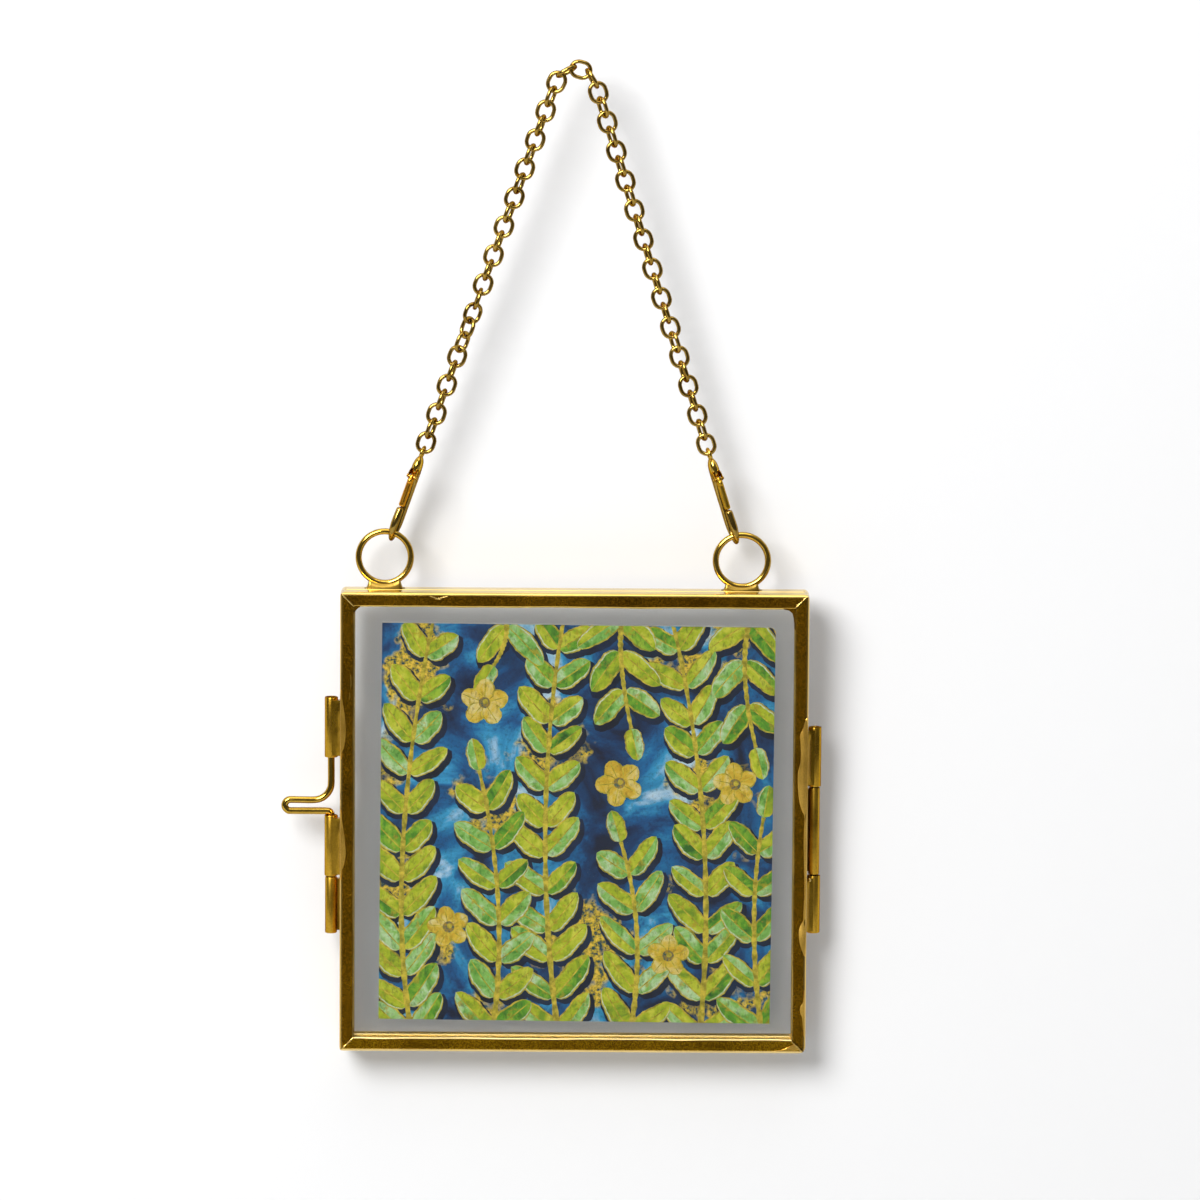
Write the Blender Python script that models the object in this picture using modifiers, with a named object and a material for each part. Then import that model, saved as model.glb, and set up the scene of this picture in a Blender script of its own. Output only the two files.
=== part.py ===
"""A hinged brass picture frame with two glass panes and a card between them, hung from a chain.

The origin is the point where the chain bears on its nail. +Z is up and the front faces -Y.
Lengths are in metres. The frame's own shapes are laid out from the middle of its back half.
"""

import math

import bmesh
import bpy
from mathutils import Matrix, Vector

MM = 0.001

# The frame: two square halves of folded brass channel, one behind the other
FRAME_CENTRE = Vector((0.5, 0.0, -168.05)) * MM
HALF_SIDE = 52.5 * MM
HALF_DEPTH = 3.95 * MM
PARTING_Y = -2.15 * MM
PARTING_GAP = 0.3 * MM
FRONT_FACE_Y = PARTING_Y - PARTING_GAP / 2 - HALF_DEPTH
BACK_FACE_Y = PARTING_Y + PARTING_GAP / 2 + HALF_DEPTH
BAR_WIDTH = 3.3 * MM
OUTER_FLANGE = 1.0 * MM
INNER_FLANGE = 0.3 * MM
CHANNEL_WEB = 0.7 * MM
EDGE_ROUND = 0.75 * MM
EDGE_STEPS = 3
MITRE_GAP = 0.1 * MM
FRONT_CORNER_RADIUS = 0.8 * MM
BACK_CORNER_RADIUS = 1.5 * MM

# What the halves hold
PANE_HALF_SIDE = 51.5 * MM
PANE_THICKNESS = 2.0 * MM
PANE_PLAY = 0.05 * MM
PANE_OFFSET = PARTING_GAP / 2 + INNER_FLANGE + PANE_PLAY + PANE_THICKNESS / 2
CARD_WIDTH = 88.2 * MM
CARD_HEIGHT = 90.8 * MM
CARD_THICKNESS = 0.9 * MM
CARD_SHIFT = Vector((0.65, 0.0, -0.55)) * MM
CARD_TURN = math.radians(0.4)

# Hinge on the right side: three knuckles on one wire
HINGE_X = 54.05 * MM
HINGE_OUTER = 1.45 * MM
HINGE_MIDDLE_OUTER = 1.225 * MM
HINGE_BORE = 0.9 * MM
HINGE_WIRE = 0.6 * MM
HINGE_ENDS = [21.8 * MM, 8.1 * MM, -12.0 * MM, -25.3 * MM]
END_GAP = 0.15 * MM
WIRE_RECESS = 0.5 * MM

# Latch on the left side: three tubes and a bent wire that slides in them
LATCH_X = -54.5 * MM
LATCH_OUTER = 1.485 * MM
LATCH_REAR_OUTER = 1.35 * MM
LATCH_BORE = 1.05 * MM
LATCH_WIRE = 0.775 * MM
LATCH_TOP_ENDS = (28.0 * MM, 14.3 * MM)
LATCH_MIDDLE_ENDS = (1.0 * MM, -12.9 * MM)
LATCH_REAR_ENDS = (-13.2 * MM, -26.0 * MM)
PIN_TOP = 22.0 * MM
PIN_BOTTOM = -12.75 * MM
HANDLE_UPPER = 4.4 * MM
HANDLE_LOWER = 1.9 * MM
HANDLE_TIP_X = -65.7 * MM
UPPER_BEND = 3.9 * MM
LOWER_BEND = 0.85 * MM
TUBE_STEPS = 12

# Solder that joins a tube or knuckle to the side of its half
SOLDER_GAP = 0.15 * MM
SOLDER_NEAR = 0.35 * MM
SOLDER_FAR = 1.6 * MM
SOLDER_INSET = 0.8 * MM

# Rings on the top of the back half
RING_RADIUS = 5.86 * MM
RING_WIRE = 0.69 * MM
RING_SEGMENTS = 22
RING_SIDES = 6
RING_PLACE = {"left": Vector((-42.65, 0, 59.5)) * MM, "right": Vector((37.35, 0, 59.15)) * MM}
SOLDER_FOOT_HALF = 4.25 * MM
SOLDER_FOOT_DEPTH = 1.0 * MM
SOLDER_FOOT_GAP = 0.12 * MM
SOLDER_FOOT_LIP = 0.3 * MM
SOLDER_NECK = 3.3 * MM

# Chain: equal oval links from one clasp over the nail to the other
LINK_COUNT = 54
LINK_WIRE = 0.46 * MM
LINK_HALF_WIDTH = 1.79 * MM
LINK_HALF_LENGTH = 2.215 * MM
NAIL_RADIUS = 2.25 * MM
CHAIN_ARC_RADIUS = 4.5 * MM
CLASP_LENGTH = 20.04 * MM
PAIR_SHIFT = 0.07 * MM
TWIST_FROM_LINK = 5
TWIST_TO_LINK = 12
LINK_SEGMENTS = 10
LINK_SIDES = 6

# Clasp: a claw in its own plane, given as sideways and upwards from the ring's wire, and a wire radius
CLAW_PATH = [
    (0.2, 17.2, 0.90),
    (1.0, 15.6, 0.95),
    (1.8, 13.2, 0.80),
    (2.2, 10.4, 0.72),
    (2.4, 6.6, 0.72),
    (2.6, 2.8, 0.72),
    (2.4, 0.9, 0.66),
    (1.5, -0.7, 0.52),
    (0.0, -1.45, 0.45),
    (-1.5, -0.7, 0.52),
    (-2.45, 0.9, 0.66),
    (-2.75, 2.8, 0.76),
    (-2.45, 5.8, 0.76),
]
CLAW_TURN = math.radians(12)
CLAW_HEAD = Vector((-0.1, 0.0, 15.9)) * MM
CLAW_HEAD_SIZE = Vector((1.9, 1.15, 2.75)) * MM
EYE_CENTRE = 19.42 * MM
EYE_RADIUS = 1.22 * MM
EYE_WIRE = 0.36 * MM
LEVER_PIVOT = (-2.35, 13.8)
LEVER_PATH = [(-2.35, 14.2, 0.42), (-2.35, 13.8, 0.55), (-2.3, 10.0, 0.62), (-2.35, 6.2, 0.62)]
LEVER_KNOB = Vector((-3.05, 0.0, 12.9)) * MM
LEVER_KNOB_SIZE = Vector((0.6, 0.6, 0.8)) * MM

BRASS = (0.55, 0.36, 0.07, 1)
DARK_BRASS = (0.22, 0.15, 0.03, 1)


def clear_scene():
    """Removes every object and collection that the file opened with."""
    for old in list(bpy.data.objects):
        bpy.data.objects.remove(old, do_unlink=True)
    for old in list(bpy.data.collections):
        bpy.data.collections.remove(old)


def new_collection(name):
    made = bpy.data.collections.new(name)
    bpy.context.scene.collection.children.link(made)
    return made


def new_material(name, colour, roughness, metallic=0.0, transmission=0.0, ior=1.45):
    made = bpy.data.materials.new(name)
    made.use_nodes = True
    shader = made.node_tree.nodes["Principled BSDF"]
    shader.inputs["Base Color"].default_value = colour
    shader.inputs["Roughness"].default_value = roughness
    shader.inputs["Metallic"].default_value = metallic
    shader.inputs["Transmission Weight"].default_value = transmission
    shader.inputs["IOR"].default_value = ior
    return made


def finish_part(made, name, material, smooth=True):
    """Names a mesh object, gives it its material and puts it with the parts."""
    made.name = name
    made.data.name = name
    made.data.materials.clear()
    made.data.materials.append(material)
    if smooth:
        made.data.shade_smooth()
        made.data.set_sharp_from_angle(angle=math.radians(40))
    for holder in list(made.users_collection):
        holder.objects.unlink(made)
    PARTS.objects.link(made)
    return made


def as_cutter(made, name):
    """Puts a helper with the cutters, where it is neither rendered nor built."""
    made.name = name
    made.hide_render = True
    made.display_type = "WIRE"
    for holder in list(made.users_collection):
        holder.objects.unlink(made)
    CUTTERS.objects.link(made)
    return made


def curve_to_mesh(curve_object):
    """Turns a curve into a closed mesh at the same place and removes the curve."""
    depsgraph = bpy.context.evaluated_depsgraph_get()
    depsgraph.update()
    mesh = bpy.data.meshes.new_from_object(curve_object.evaluated_get(depsgraph))
    welded = bmesh.new()
    welded.from_mesh(mesh)
    bmesh.ops.remove_doubles(welded, verts=welded.verts, dist=0.01 * MM)
    bmesh.ops.recalc_face_normals(welded, faces=welded.faces)
    welded.to_mesh(mesh)
    welded.free()
    made = bpy.data.objects.new(curve_object.name, mesh)
    made.matrix_world = curve_object.matrix_world.copy()
    bpy.context.scene.collection.objects.link(made)
    bpy.data.objects.remove(curve_object, do_unlink=True)
    return made


def outline_solid(name, outline, half_thickness):
    """Makes a plate from a flat outline in its own X and Y, as thick as given along Z."""
    curve = bpy.data.curves.new(name, "CURVE")
    curve.dimensions = "2D"
    curve.fill_mode = "BOTH"
    curve.extrude = half_thickness
    spline = curve.splines.new("POLY")
    spline.points.add(len(outline) - 1)
    for point, (x, y) in zip(spline.points, outline):
        point.co = (x, y, 0, 1)
    spline.use_cyclic_u = True
    flat = bpy.data.objects.new(name, curve)
    bpy.context.scene.collection.objects.link(flat)
    return curve_to_mesh(flat)


def wire_solid(name, points, radii, sides_resolution=2):
    """Makes a round wire along a path, with a radius at each point."""
    curve = bpy.data.curves.new(name, "CURVE")
    curve.dimensions = "3D"
    curve.bevel_depth = MM
    curve.bevel_resolution = sides_resolution
    curve.use_fill_caps = True
    spline = curve.splines.new("POLY")
    spline.points.add(len(points) - 1)
    for point, place, radius in zip(spline.points, points, radii):
        point.co = (*place, 1)
        point.radius = radius / MM
    wire = bpy.data.objects.new(name, curve)
    bpy.context.scene.collection.objects.link(wire)
    return curve_to_mesh(wire)


def ellipsoid(name, centre, half_sizes, segments=10, rings=7):
    mesh = bpy.data.meshes.new(name)
    ball = bmesh.new()
    bmesh.ops.create_uvsphere(ball, u_segments=segments, v_segments=rings, radius=1)
    bmesh.ops.scale(ball, vec=half_sizes, verts=ball.verts)
    bmesh.ops.translate(ball, vec=centre, verts=ball.verts)
    ball.to_mesh(mesh)
    ball.free()
    made = bpy.data.objects.new(name, mesh)
    bpy.context.scene.collection.objects.link(made)
    return made


def box(name, low, high):
    """Makes a box between two corners."""
    mesh = bpy.data.meshes.new(name)
    cube = bmesh.new()
    bmesh.ops.create_cube(cube, size=1)
    bmesh.ops.scale(cube, vec=high - low, verts=cube.verts)
    bmesh.ops.translate(cube, vec=(low + high) / 2, verts=cube.verts)
    cube.to_mesh(mesh)
    cube.free()
    made = bpy.data.objects.new(name, mesh)
    bpy.context.scene.collection.objects.link(made)
    return made


def torus(name, radius, wire, segments, sides):
    """Makes a ring round its own Z axis."""
    bpy.ops.mesh.primitive_torus_add(
        major_radius=radius, minor_radius=wire, major_segments=segments, minor_segments=sides
    )
    made = bpy.context.object
    made.name = name
    return made


def bake_place(made, matrix):
    """Moves an object's vertices by a matrix, so that its own place can stay at the frame's."""
    made.data.transform(matrix)
    if matrix.determinant() < 0:
        made.data.flip_normals()


def boolean(target, operation, other):
    modifier = target.modifiers.new(other.name, "BOOLEAN")
    modifier.operation = operation
    modifier.solver = "EXACT"
    modifier.object = other


def rounded_square(half, radius, steps=5):
    """Gives the outline of a square with round corners."""
    outline = []
    for corner in range(4):
        middle = math.radians(45 + 90 * corner)
        centre_x = math.copysign(half - radius, math.cos(middle))
        centre_y = math.copysign(half - radius, math.sin(middle))
        for step in range(steps + 1):
            angle = math.radians(90 * corner + 90 * step / steps)
            outline.append((centre_x + radius * math.cos(angle), centre_y + radius * math.sin(angle)))
    return outline


def channel_profile():
    """Gives the bar's section, as the distance in from its outer side and back from its outer face."""
    rounded_edge = []
    for step in range(EDGE_STEPS + 1):
        angle = math.radians(90) * step / EDGE_STEPS
        rounded_edge.append((EDGE_ROUND * (1 - math.cos(angle)), EDGE_ROUND * (1 - math.sin(angle))))
    inner_face = HALF_DEPTH - INNER_FLANGE
    return rounded_edge + [
        (BAR_WIDTH, 0.0),
        (BAR_WIDTH, OUTER_FLANGE),
        (CHANNEL_WEB, OUTER_FLANGE),
        (CHANNEL_WEB, inner_face),
        (BAR_WIDTH, inner_face),
        (BAR_WIDTH, HALF_DEPTH),
        (0.0, HALF_DEPTH),
    ]


def frame_bar(name, outer_face_y, inward, quarter_turns, rounding):
    """Makes one mitred bar of a half: the bottom one, turned about the frame's middle."""
    bar = outline_solid(name, channel_profile(), HALF_SIDE)
    turn = Matrix.Rotation(math.radians(90) * quarter_turns, 4, "Y")
    for vertex in bar.data.vertices:
        distance_in, distance_back, along = vertex.co
        end = HALF_SIDE - distance_in - MITRE_GAP
        along = math.copysign(end, along)
        vertex.co = Vector((along, outer_face_y + inward * distance_back, distance_in - HALF_SIDE))
    fixed = bmesh.new()
    fixed.from_mesh(bar.data)
    bmesh.ops.recalc_face_normals(fixed, faces=fixed.faces)
    fixed.to_mesh(bar.data)
    fixed.free()
    bake_place(bar, turn)
    bar.location = FRAME_CENTRE
    boolean(bar, "INTERSECT", rounding)
    return finish_part(bar, name, BRASS_FACE, smooth=False)


def corner_rounding(name, radius):
    """Makes the block that a half's outer corners are rounded by."""
    block = outline_solid(name, rounded_square(HALF_SIDE, radius), 10 * MM)
    bake_place(block, Matrix.Rotation(math.radians(90), 4, "X"))
    block.location = FRAME_CENTRE
    return as_cutter(block, name)


def frame_halves():
    front_rounding = corner_rounding("front_corner_rounding", FRONT_CORNER_RADIUS)
    back_rounding = corner_rounding("back_corner_rounding", BACK_CORNER_RADIUS)
    for quarter_turns, side in enumerate(["bottom", "left", "top", "right"]):
        frame_bar(f"front_bar_{side}", FRONT_FACE_Y, 1, quarter_turns, front_rounding)
        frame_bar(f"back_bar_{side}", BACK_FACE_Y, -1, quarter_turns, back_rounding)


def glass_pane(name, middle_y):
    reach = Vector((PANE_HALF_SIDE, PANE_THICKNESS / 2, PANE_HALF_SIDE))
    middle = Vector((0, middle_y, 0))
    pane = box(name, middle - reach, middle + reach)
    pane.location = FRAME_CENTRE
    return finish_part(pane, name, GLASS, smooth=False)


def printed_card():
    reach = Vector((CARD_WIDTH, CARD_THICKNESS, CARD_HEIGHT)) / 2
    card = box("botanical_card", -reach, reach)
    card.rotation_euler = (0, CARD_TURN, 0)
    card.location = FRAME_CENTRE + CARD_SHIFT + Vector((0, PARTING_Y, 0))
    return finish_part(card, "botanical_card", CARD, smooth=False)


def tube(name, x, top, bottom, outer, bore):
    """Makes a tube about an upright axis by turning its wall's section."""
    mesh = bpy.data.meshes.new(name)
    section = bmesh.new()
    corners = [(outer, top), (outer, bottom), (bore, bottom), (bore, top)]
    verts = [section.verts.new((radius, 0, height)) for radius, height in corners]
    for first, second in zip(verts, verts[1:] + verts[:1]):
        section.edges.new((first, second))
    section.to_mesh(mesh)
    section.free()
    made = bpy.data.objects.new(name, mesh)
    bpy.context.scene.collection.objects.link(made)
    screw = made.modifiers.new("turned", "SCREW")
    screw.angle = math.radians(360)
    screw.steps = TUBE_STEPS
    screw.render_steps = TUBE_STEPS
    screw.use_merge_vertices = True
    screw.merge_threshold = 0.01 * MM
    screw.use_normal_calculate = True
    made.location = FRAME_CENTRE + Vector((x, PARTING_Y, 0))
    return made


def soldered_tube(name, x, top, bottom, outer, bore, on_front):
    """Makes a tube with the solder web that reaches to the side of its half."""
    made = tube(name, x, top, bottom, outer, bore)
    side = math.copysign(1, x)
    near_wall = side * (HALF_SIDE + SOLDER_GAP)
    in_tube = side * (abs(x) - bore - 0.1 * MM)
    towards = -1 if on_front else 1
    near_y = PARTING_Y + towards * SOLDER_NEAR
    far_y = PARTING_Y + towards * SOLDER_FAR
    low = Vector((min(near_wall, in_tube), min(near_y, far_y), bottom + SOLDER_INSET))
    high = Vector((max(near_wall, in_tube), max(near_y, far_y), top - SOLDER_INSET))
    web = as_cutter(box(f"{name}_solder", low, high), f"{name}_solder")
    web.location = FRAME_CENTRE
    boolean(made, "UNION", web)
    return finish_part(made, name, BRASS_BRIGHT)


def hinge():
    top, upper_joint, lower_joint, bottom = HINGE_ENDS
    soldered_tube(
        "hinge_knuckle_top", HINGE_X, top, upper_joint + END_GAP, HINGE_OUTER, HINGE_BORE, True
    )
    soldered_tube(
        "hinge_knuckle_middle", HINGE_X, upper_joint - END_GAP, lower_joint + END_GAP,
        HINGE_MIDDLE_OUTER, HINGE_BORE, False,
    )
    soldered_tube(
        "hinge_knuckle_bottom", HINGE_X, lower_joint - END_GAP, bottom, HINGE_OUTER, HINGE_BORE, True
    )
    ends = [Vector((HINGE_X, PARTING_Y, top - WIRE_RECESS)), Vector((HINGE_X, PARTING_Y, bottom + WIRE_RECESS))]
    pin = wire_solid("hinge_pin", ends, [HINGE_WIRE] * 2)
    pin.location = FRAME_CENTRE
    finish_part(pin, "hinge_pin", BRASS_BRIGHT)


def arc(centre, radius, start, end, steps):
    """Gives points along an arc in the frame's plane, angles in degrees from +X towards +Z."""
    points = []
    for step in range(steps + 1):
        angle = math.radians(start + (end - start) * step / steps)
        points.append(centre + radius * Vector((math.cos(angle), 0, math.sin(angle))))
    return points


def latch():
    soldered_tube("latch_tube_top", LATCH_X, *LATCH_TOP_ENDS, LATCH_OUTER, LATCH_BORE, True)
    soldered_tube("latch_tube_middle", LATCH_X, *LATCH_MIDDLE_ENDS, LATCH_OUTER, LATCH_BORE, True)
    soldered_tube("latch_tube_bottom", LATCH_X, *LATCH_REAR_ENDS, LATCH_REAR_OUTER, LATCH_BORE, False)
    turn_radius = (HANDLE_UPPER - HANDLE_LOWER) / 2
    turn_x = HANDLE_TIP_X + LATCH_WIRE + turn_radius
    path = [Vector((LATCH_X, 0, PIN_TOP))]
    path += arc(Vector((LATCH_X - UPPER_BEND, 0, HANDLE_UPPER + UPPER_BEND)), UPPER_BEND, 0, -90, 4)
    path += arc(Vector((turn_x, 0, HANDLE_LOWER + turn_radius)), turn_radius, 90, 270, 6)
    path += arc(Vector((LATCH_X - LOWER_BEND, 0, HANDLE_LOWER - LOWER_BEND)), LOWER_BEND, 90, 0, 4)
    path += [Vector((LATCH_X, 0, PIN_BOTTOM))]
    pin = wire_solid("latch_pin", path, [LATCH_WIRE] * len(path))
    pin.location = FRAME_CENTRE + Vector((0, PARTING_Y, 0))
    finish_part(pin, "latch_pin", BRASS_BRIGHT)


def solder_foot_outline(ring_height):
    """Gives the flared solder between a ring's wire and the frame's top, from the ring's middle."""
    floor = HALF_SIDE + SOLDER_FOOT_GAP - ring_height
    lip = floor + SOLDER_FOOT_LIP
    neck_height = -math.sqrt(RING_RADIUS**2 - SOLDER_NECK**2)
    right = [
        (SOLDER_FOOT_HALF, floor),
        (SOLDER_FOOT_HALF, lip),
        ((SOLDER_FOOT_HALF + SOLDER_NECK) / 2, (lip * 2 + neck_height) / 3),
        (SOLDER_NECK, neck_height),
    ]
    arch = []
    for share in (0.6, 0.2, -0.2, -0.6):
        across = SOLDER_NECK * share
        arch.append((across, -math.sqrt(RING_RADIUS**2 - across**2)))
    left = [(-x, z) for x, z in reversed(right)]
    return right + arch + left


def hanging_ring(side):
    name = f"ring_{side}"
    ring = torus(name, RING_RADIUS, RING_WIRE, RING_SEGMENTS, RING_SIDES)
    upright = Matrix.Rotation(math.radians(90), 4, "X")
    bake_place(ring, upright)
    foot = outline_solid(f"{name}_solder", solder_foot_outline(RING_PLACE[side].z), SOLDER_FOOT_DEPTH)
    bake_place(foot, upright)
    as_cutter(foot, f"{name}_solder")
    ring.location = ring_centre(side)
    foot.location = ring_centre(side)
    boolean(ring, "UNION", foot)
    return finish_part(ring, name, BRASS_BRIGHT)


def ring_centre(side):
    return FRAME_CENTRE + RING_PLACE[side]


def leg_direction(side):
    """Gives the way that a chain leg leaves its ring, tangent to the arc over the nail."""
    outward = -1 if side == "left" else 1
    to_arc = Vector((0, 0, -NAIL_RADIUS)) - ring_centre(side)
    lean = math.atan2(-outward * to_arc.x, to_arc.z)
    lean -= math.asin(CHAIN_ARC_RADIUS / to_arc.length)
    return Vector((-outward * math.sin(lean), 0, math.cos(lean)))


def leg_end(side):
    """Gives the point where a leg of the chain takes hold of its clasp's eye."""
    return ring_centre(side) + leg_direction(side) * (RING_RADIUS + CLASP_LENGTH)


def chain_route():
    """Gives the chain's length and a function for the point that lies a given way along it."""
    middle = Vector((0, 0, -NAIL_RADIUS))
    start, start_way = leg_end("left"), leg_direction("left")
    end, end_way = leg_end("right"), leg_direction("right")
    first_run = (middle - start).dot(start_way)
    last_run = (middle - end).dot(end_way)
    start_normal = (start + start_way * first_run - middle).normalized()
    end_normal = (end + end_way * last_run - middle).normalized()
    start_angle = math.atan2(start_normal.z, start_normal.x)
    end_angle = math.atan2(end_normal.z, end_normal.x)
    bend_run = CHAIN_ARC_RADIUS * (start_angle - end_angle)
    length = first_run + bend_run + last_run

    def point(distance):
        if distance < first_run:
            return start + start_way * distance
        if distance < first_run + bend_run:
            angle = start_angle - (distance - first_run) / CHAIN_ARC_RADIUS
            return middle + CHAIN_ARC_RADIUS * Vector((math.cos(angle), 0, math.sin(angle)))
        return end + end_way * (length - distance)

    return length, point


def joint_points():
    """Gives the points where the links meet, at equal straight distances along the route."""
    length, point = chain_route()
    low, high = 0.5 * length / LINK_COUNT, length / LINK_COUNT
    for _ in range(40):
        pitch = (low + high) / 2
        travelled = [0.0]
        for _ in range(LINK_COUNT):
            here = point(travelled[-1])
            near, far = travelled[-1], travelled[-1] + 1.5 * pitch
            for _ in range(30):
                middle = (near + far) / 2
                if (point(middle) - here).length < pitch:
                    near = middle
                else:
                    far = middle
            travelled.append(near)
        if travelled[-1] < length:
            low = pitch
        else:
            high = pitch
    return [point(distance) for distance in travelled]


def link_mesh():
    """Makes the mesh of one oval link, long way along its own Y."""
    link = torus("link", LINK_HALF_WIDTH, LINK_WIRE, LINK_SEGMENTS, LINK_SIDES)
    mesh = link.data
    mesh.transform(Matrix.Rotation(math.radians(180 / LINK_SEGMENTS), 4, "Z"))
    for vertex in mesh.vertices:
        vertex.co.y += math.copysign(LINK_HALF_LENGTH - LINK_HALF_WIDTH, vertex.co.y)
    bpy.data.objects.remove(link, do_unlink=True)
    return mesh


def link_turn(index):
    """Gives a link's turn about the chain: a quarter per link, and a slow extra quarter in the left leg."""
    share = (index - TWIST_FROM_LINK) / (TWIST_TO_LINK - TWIST_FROM_LINK)
    extra = min(max(share, 0), 1)
    return math.radians(90) * (index % 2 + extra)


def chain():
    """Makes the links two to a part, each pair joined where its wires meet."""
    joints = joint_points()
    mesh = link_mesh()
    for index, (start, end) in enumerate(zip(joints, joints[1:])):
        along = (end - start).normalized()
        front = Vector((0, 1, 0))
        across = front.cross(along)
        turn = link_turn(index)
        normal = front * math.cos(turn) + across * math.sin(turn)
        shift = PAIR_SHIFT * (1 if index % 2 else -1)
        place = Matrix((along.cross(normal), along, normal)).transposed().to_4x4()
        place.translation = (start + end) / 2 + along * shift
        link = bpy.data.objects.new(f"link_{index + 1:02d}", mesh.copy())
        link.matrix_world = place
        bpy.context.scene.collection.objects.link(link)
        if index % 2:
            as_cutter(link, f"link_{index + 1:02d}")
            boolean(first_of_pair, "UNION", link)
        else:
            pair_name = f"chain_links_{index + 1:02d}_{index + 2:02d}"
            first_of_pair = finish_part(link, pair_name, BRASS_BRIGHT)


def clasp_matrix(side):
    """Gives the clasp's own axes: X to the back, Z up its leg, from the wire of its ring."""
    up = leg_direction(side)
    outward = Vector((-1 if side == "left" else 1, 0, 0))
    outward = (outward - up * outward.dot(up)).normalized()
    back = Vector((0, 1, 0)) * math.cos(CLAW_TURN) - outward * math.sin(CLAW_TURN)
    across = up.cross(back)
    matrix = Matrix((back, across, up)).transposed().to_4x4()
    matrix.translation = ring_centre(side) + up * RING_RADIUS
    return matrix


def plane_wire(name, path):
    """Makes a wire in the clasp's plane."""
    points = [Vector((sideways, 0, upwards)) * MM for sideways, upwards, _ in path]
    return wire_solid(name, points, [radius * MM for _, _, radius in path])


def clasp(side):
    place = clasp_matrix(side)
    claw = plane_wire(f"clasp_{side}", CLAW_PATH)
    head = ellipsoid(f"clasp_{side}_head", CLAW_HEAD, CLAW_HEAD_SIZE)
    eye = torus(f"clasp_{side}_eye", EYE_RADIUS, EYE_WIRE, 14, 6)
    bake_place(eye, Matrix.Translation((0, 0, EYE_CENTRE)) @ Matrix.Rotation(math.radians(90), 4, "X"))
    for joined in (head, eye):
        as_cutter(joined, joined.name)
        joined.matrix_world = place
        boolean(claw, "UNION", joined)
    claw.matrix_world = place
    finish_part(claw, f"clasp_{side}", BRASS_BRIGHT)


def clasp_lever(side):
    """Makes the sprung lever that closes a clasp, with its origin on its pivot."""
    place = clasp_matrix(side)
    pivot = Vector((LEVER_PIVOT[0], 0, LEVER_PIVOT[1])) * MM
    from_pivot = Matrix.Translation(-pivot)
    lever = plane_wire(f"clasp_lever_{side}", LEVER_PATH)
    knob = ellipsoid(f"clasp_lever_{side}_knob", LEVER_KNOB, LEVER_KNOB_SIZE, 8, 5)
    for piece in (lever, knob):
        bake_place(piece, from_pivot)
        piece.matrix_world = place @ Matrix.Translation(pivot)
    as_cutter(knob, knob.name)
    boolean(lever, "UNION", knob)
    finish_part(lever, f"clasp_lever_{side}", BRASS_BRIGHT)


clear_scene()
PARTS = new_collection("hanging_glass_frame")
CUTTERS = new_collection("cutters")
BRASS_FACE = new_material("brass_face", DARK_BRASS, 0.35, metallic=1.0)
BRASS_BRIGHT = new_material("brass_bright", BRASS, 0.25, metallic=1.0)
GLASS = new_material("clear_glass", (0.97, 0.99, 0.98, 1), 0.02, transmission=1.0, ior=1.52)
CARD = new_material("printed_card", (0.25, 0.40, 0.12, 1), 0.6)

frame_halves()
glass_pane("front_glass", PARTING_Y - PANE_OFFSET)
glass_pane("back_glass", PARTING_Y + PANE_OFFSET)
printed_card()
hinge()
latch()
for ring_side in ("left", "right"):
    hanging_ring(ring_side)
    clasp(ring_side)
    clasp_lever(ring_side)
chain()
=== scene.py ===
"""Looks of the hanging glass frame: finished pieces, materials, stage, lights and camera.

Shapes are worked out in millimetres and turned into metres when a piece is made. The origin is where the
chain hangs, +Z is up and the front faces -Y. Points on the frame's faces are pairs of
millimetres, right of and above its middle. The stage, the lights and the camera are in metres.
"""

import math
import random

import bmesh
import bpy
from mathutils import Matrix, Vector


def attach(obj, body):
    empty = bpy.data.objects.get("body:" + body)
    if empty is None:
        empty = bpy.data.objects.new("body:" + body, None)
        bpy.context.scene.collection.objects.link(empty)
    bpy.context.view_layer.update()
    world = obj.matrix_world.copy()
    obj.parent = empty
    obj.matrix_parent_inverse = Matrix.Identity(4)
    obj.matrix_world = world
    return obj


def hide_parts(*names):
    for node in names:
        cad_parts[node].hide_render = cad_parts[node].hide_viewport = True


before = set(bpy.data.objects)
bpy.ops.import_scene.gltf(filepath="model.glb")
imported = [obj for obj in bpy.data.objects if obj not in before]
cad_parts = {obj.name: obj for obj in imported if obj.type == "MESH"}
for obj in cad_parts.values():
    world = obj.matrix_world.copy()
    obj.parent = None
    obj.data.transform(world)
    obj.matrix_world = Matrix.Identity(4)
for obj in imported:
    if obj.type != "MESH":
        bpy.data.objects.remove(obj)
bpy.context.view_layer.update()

MM = 0.001
UP = Vector((0, 0, 1))
BACK = Vector((0, 1, 0))
SIGN = {"left": -1, "right": 1}

# Frame: its middle, its outline, its two faces and the plane where the halves meet
FRAME_CENTRE = Vector((0.5, 0.0, -168.05))
HALF_SIDE = 52.5
BAR_WIDTH = 3.3
INNER_HALF = HALF_SIDE - BAR_WIDTH
FRONT_FACE_Y = -6.25
PARTING_Y = -2.15
BACK_FACE_Y = 1.95
EDGE_ROUND = 0.75
MITRE_GAP = 0.03
FRONT_CORNER_RADII = (0.9, 1.0, 1.0, 1.8)
BACK_CORNER_RADIUS = 1.5

# Panes: half their side and depth, the bevel of their edges, and where their middles are
PANE_HALF = 51.5
PANE_HALF_DEPTH = 1.0
PANE_BEVEL = 0.15
PANE_MIDDLE_Y = {"front": -3.65, "back": -0.65}

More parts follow.
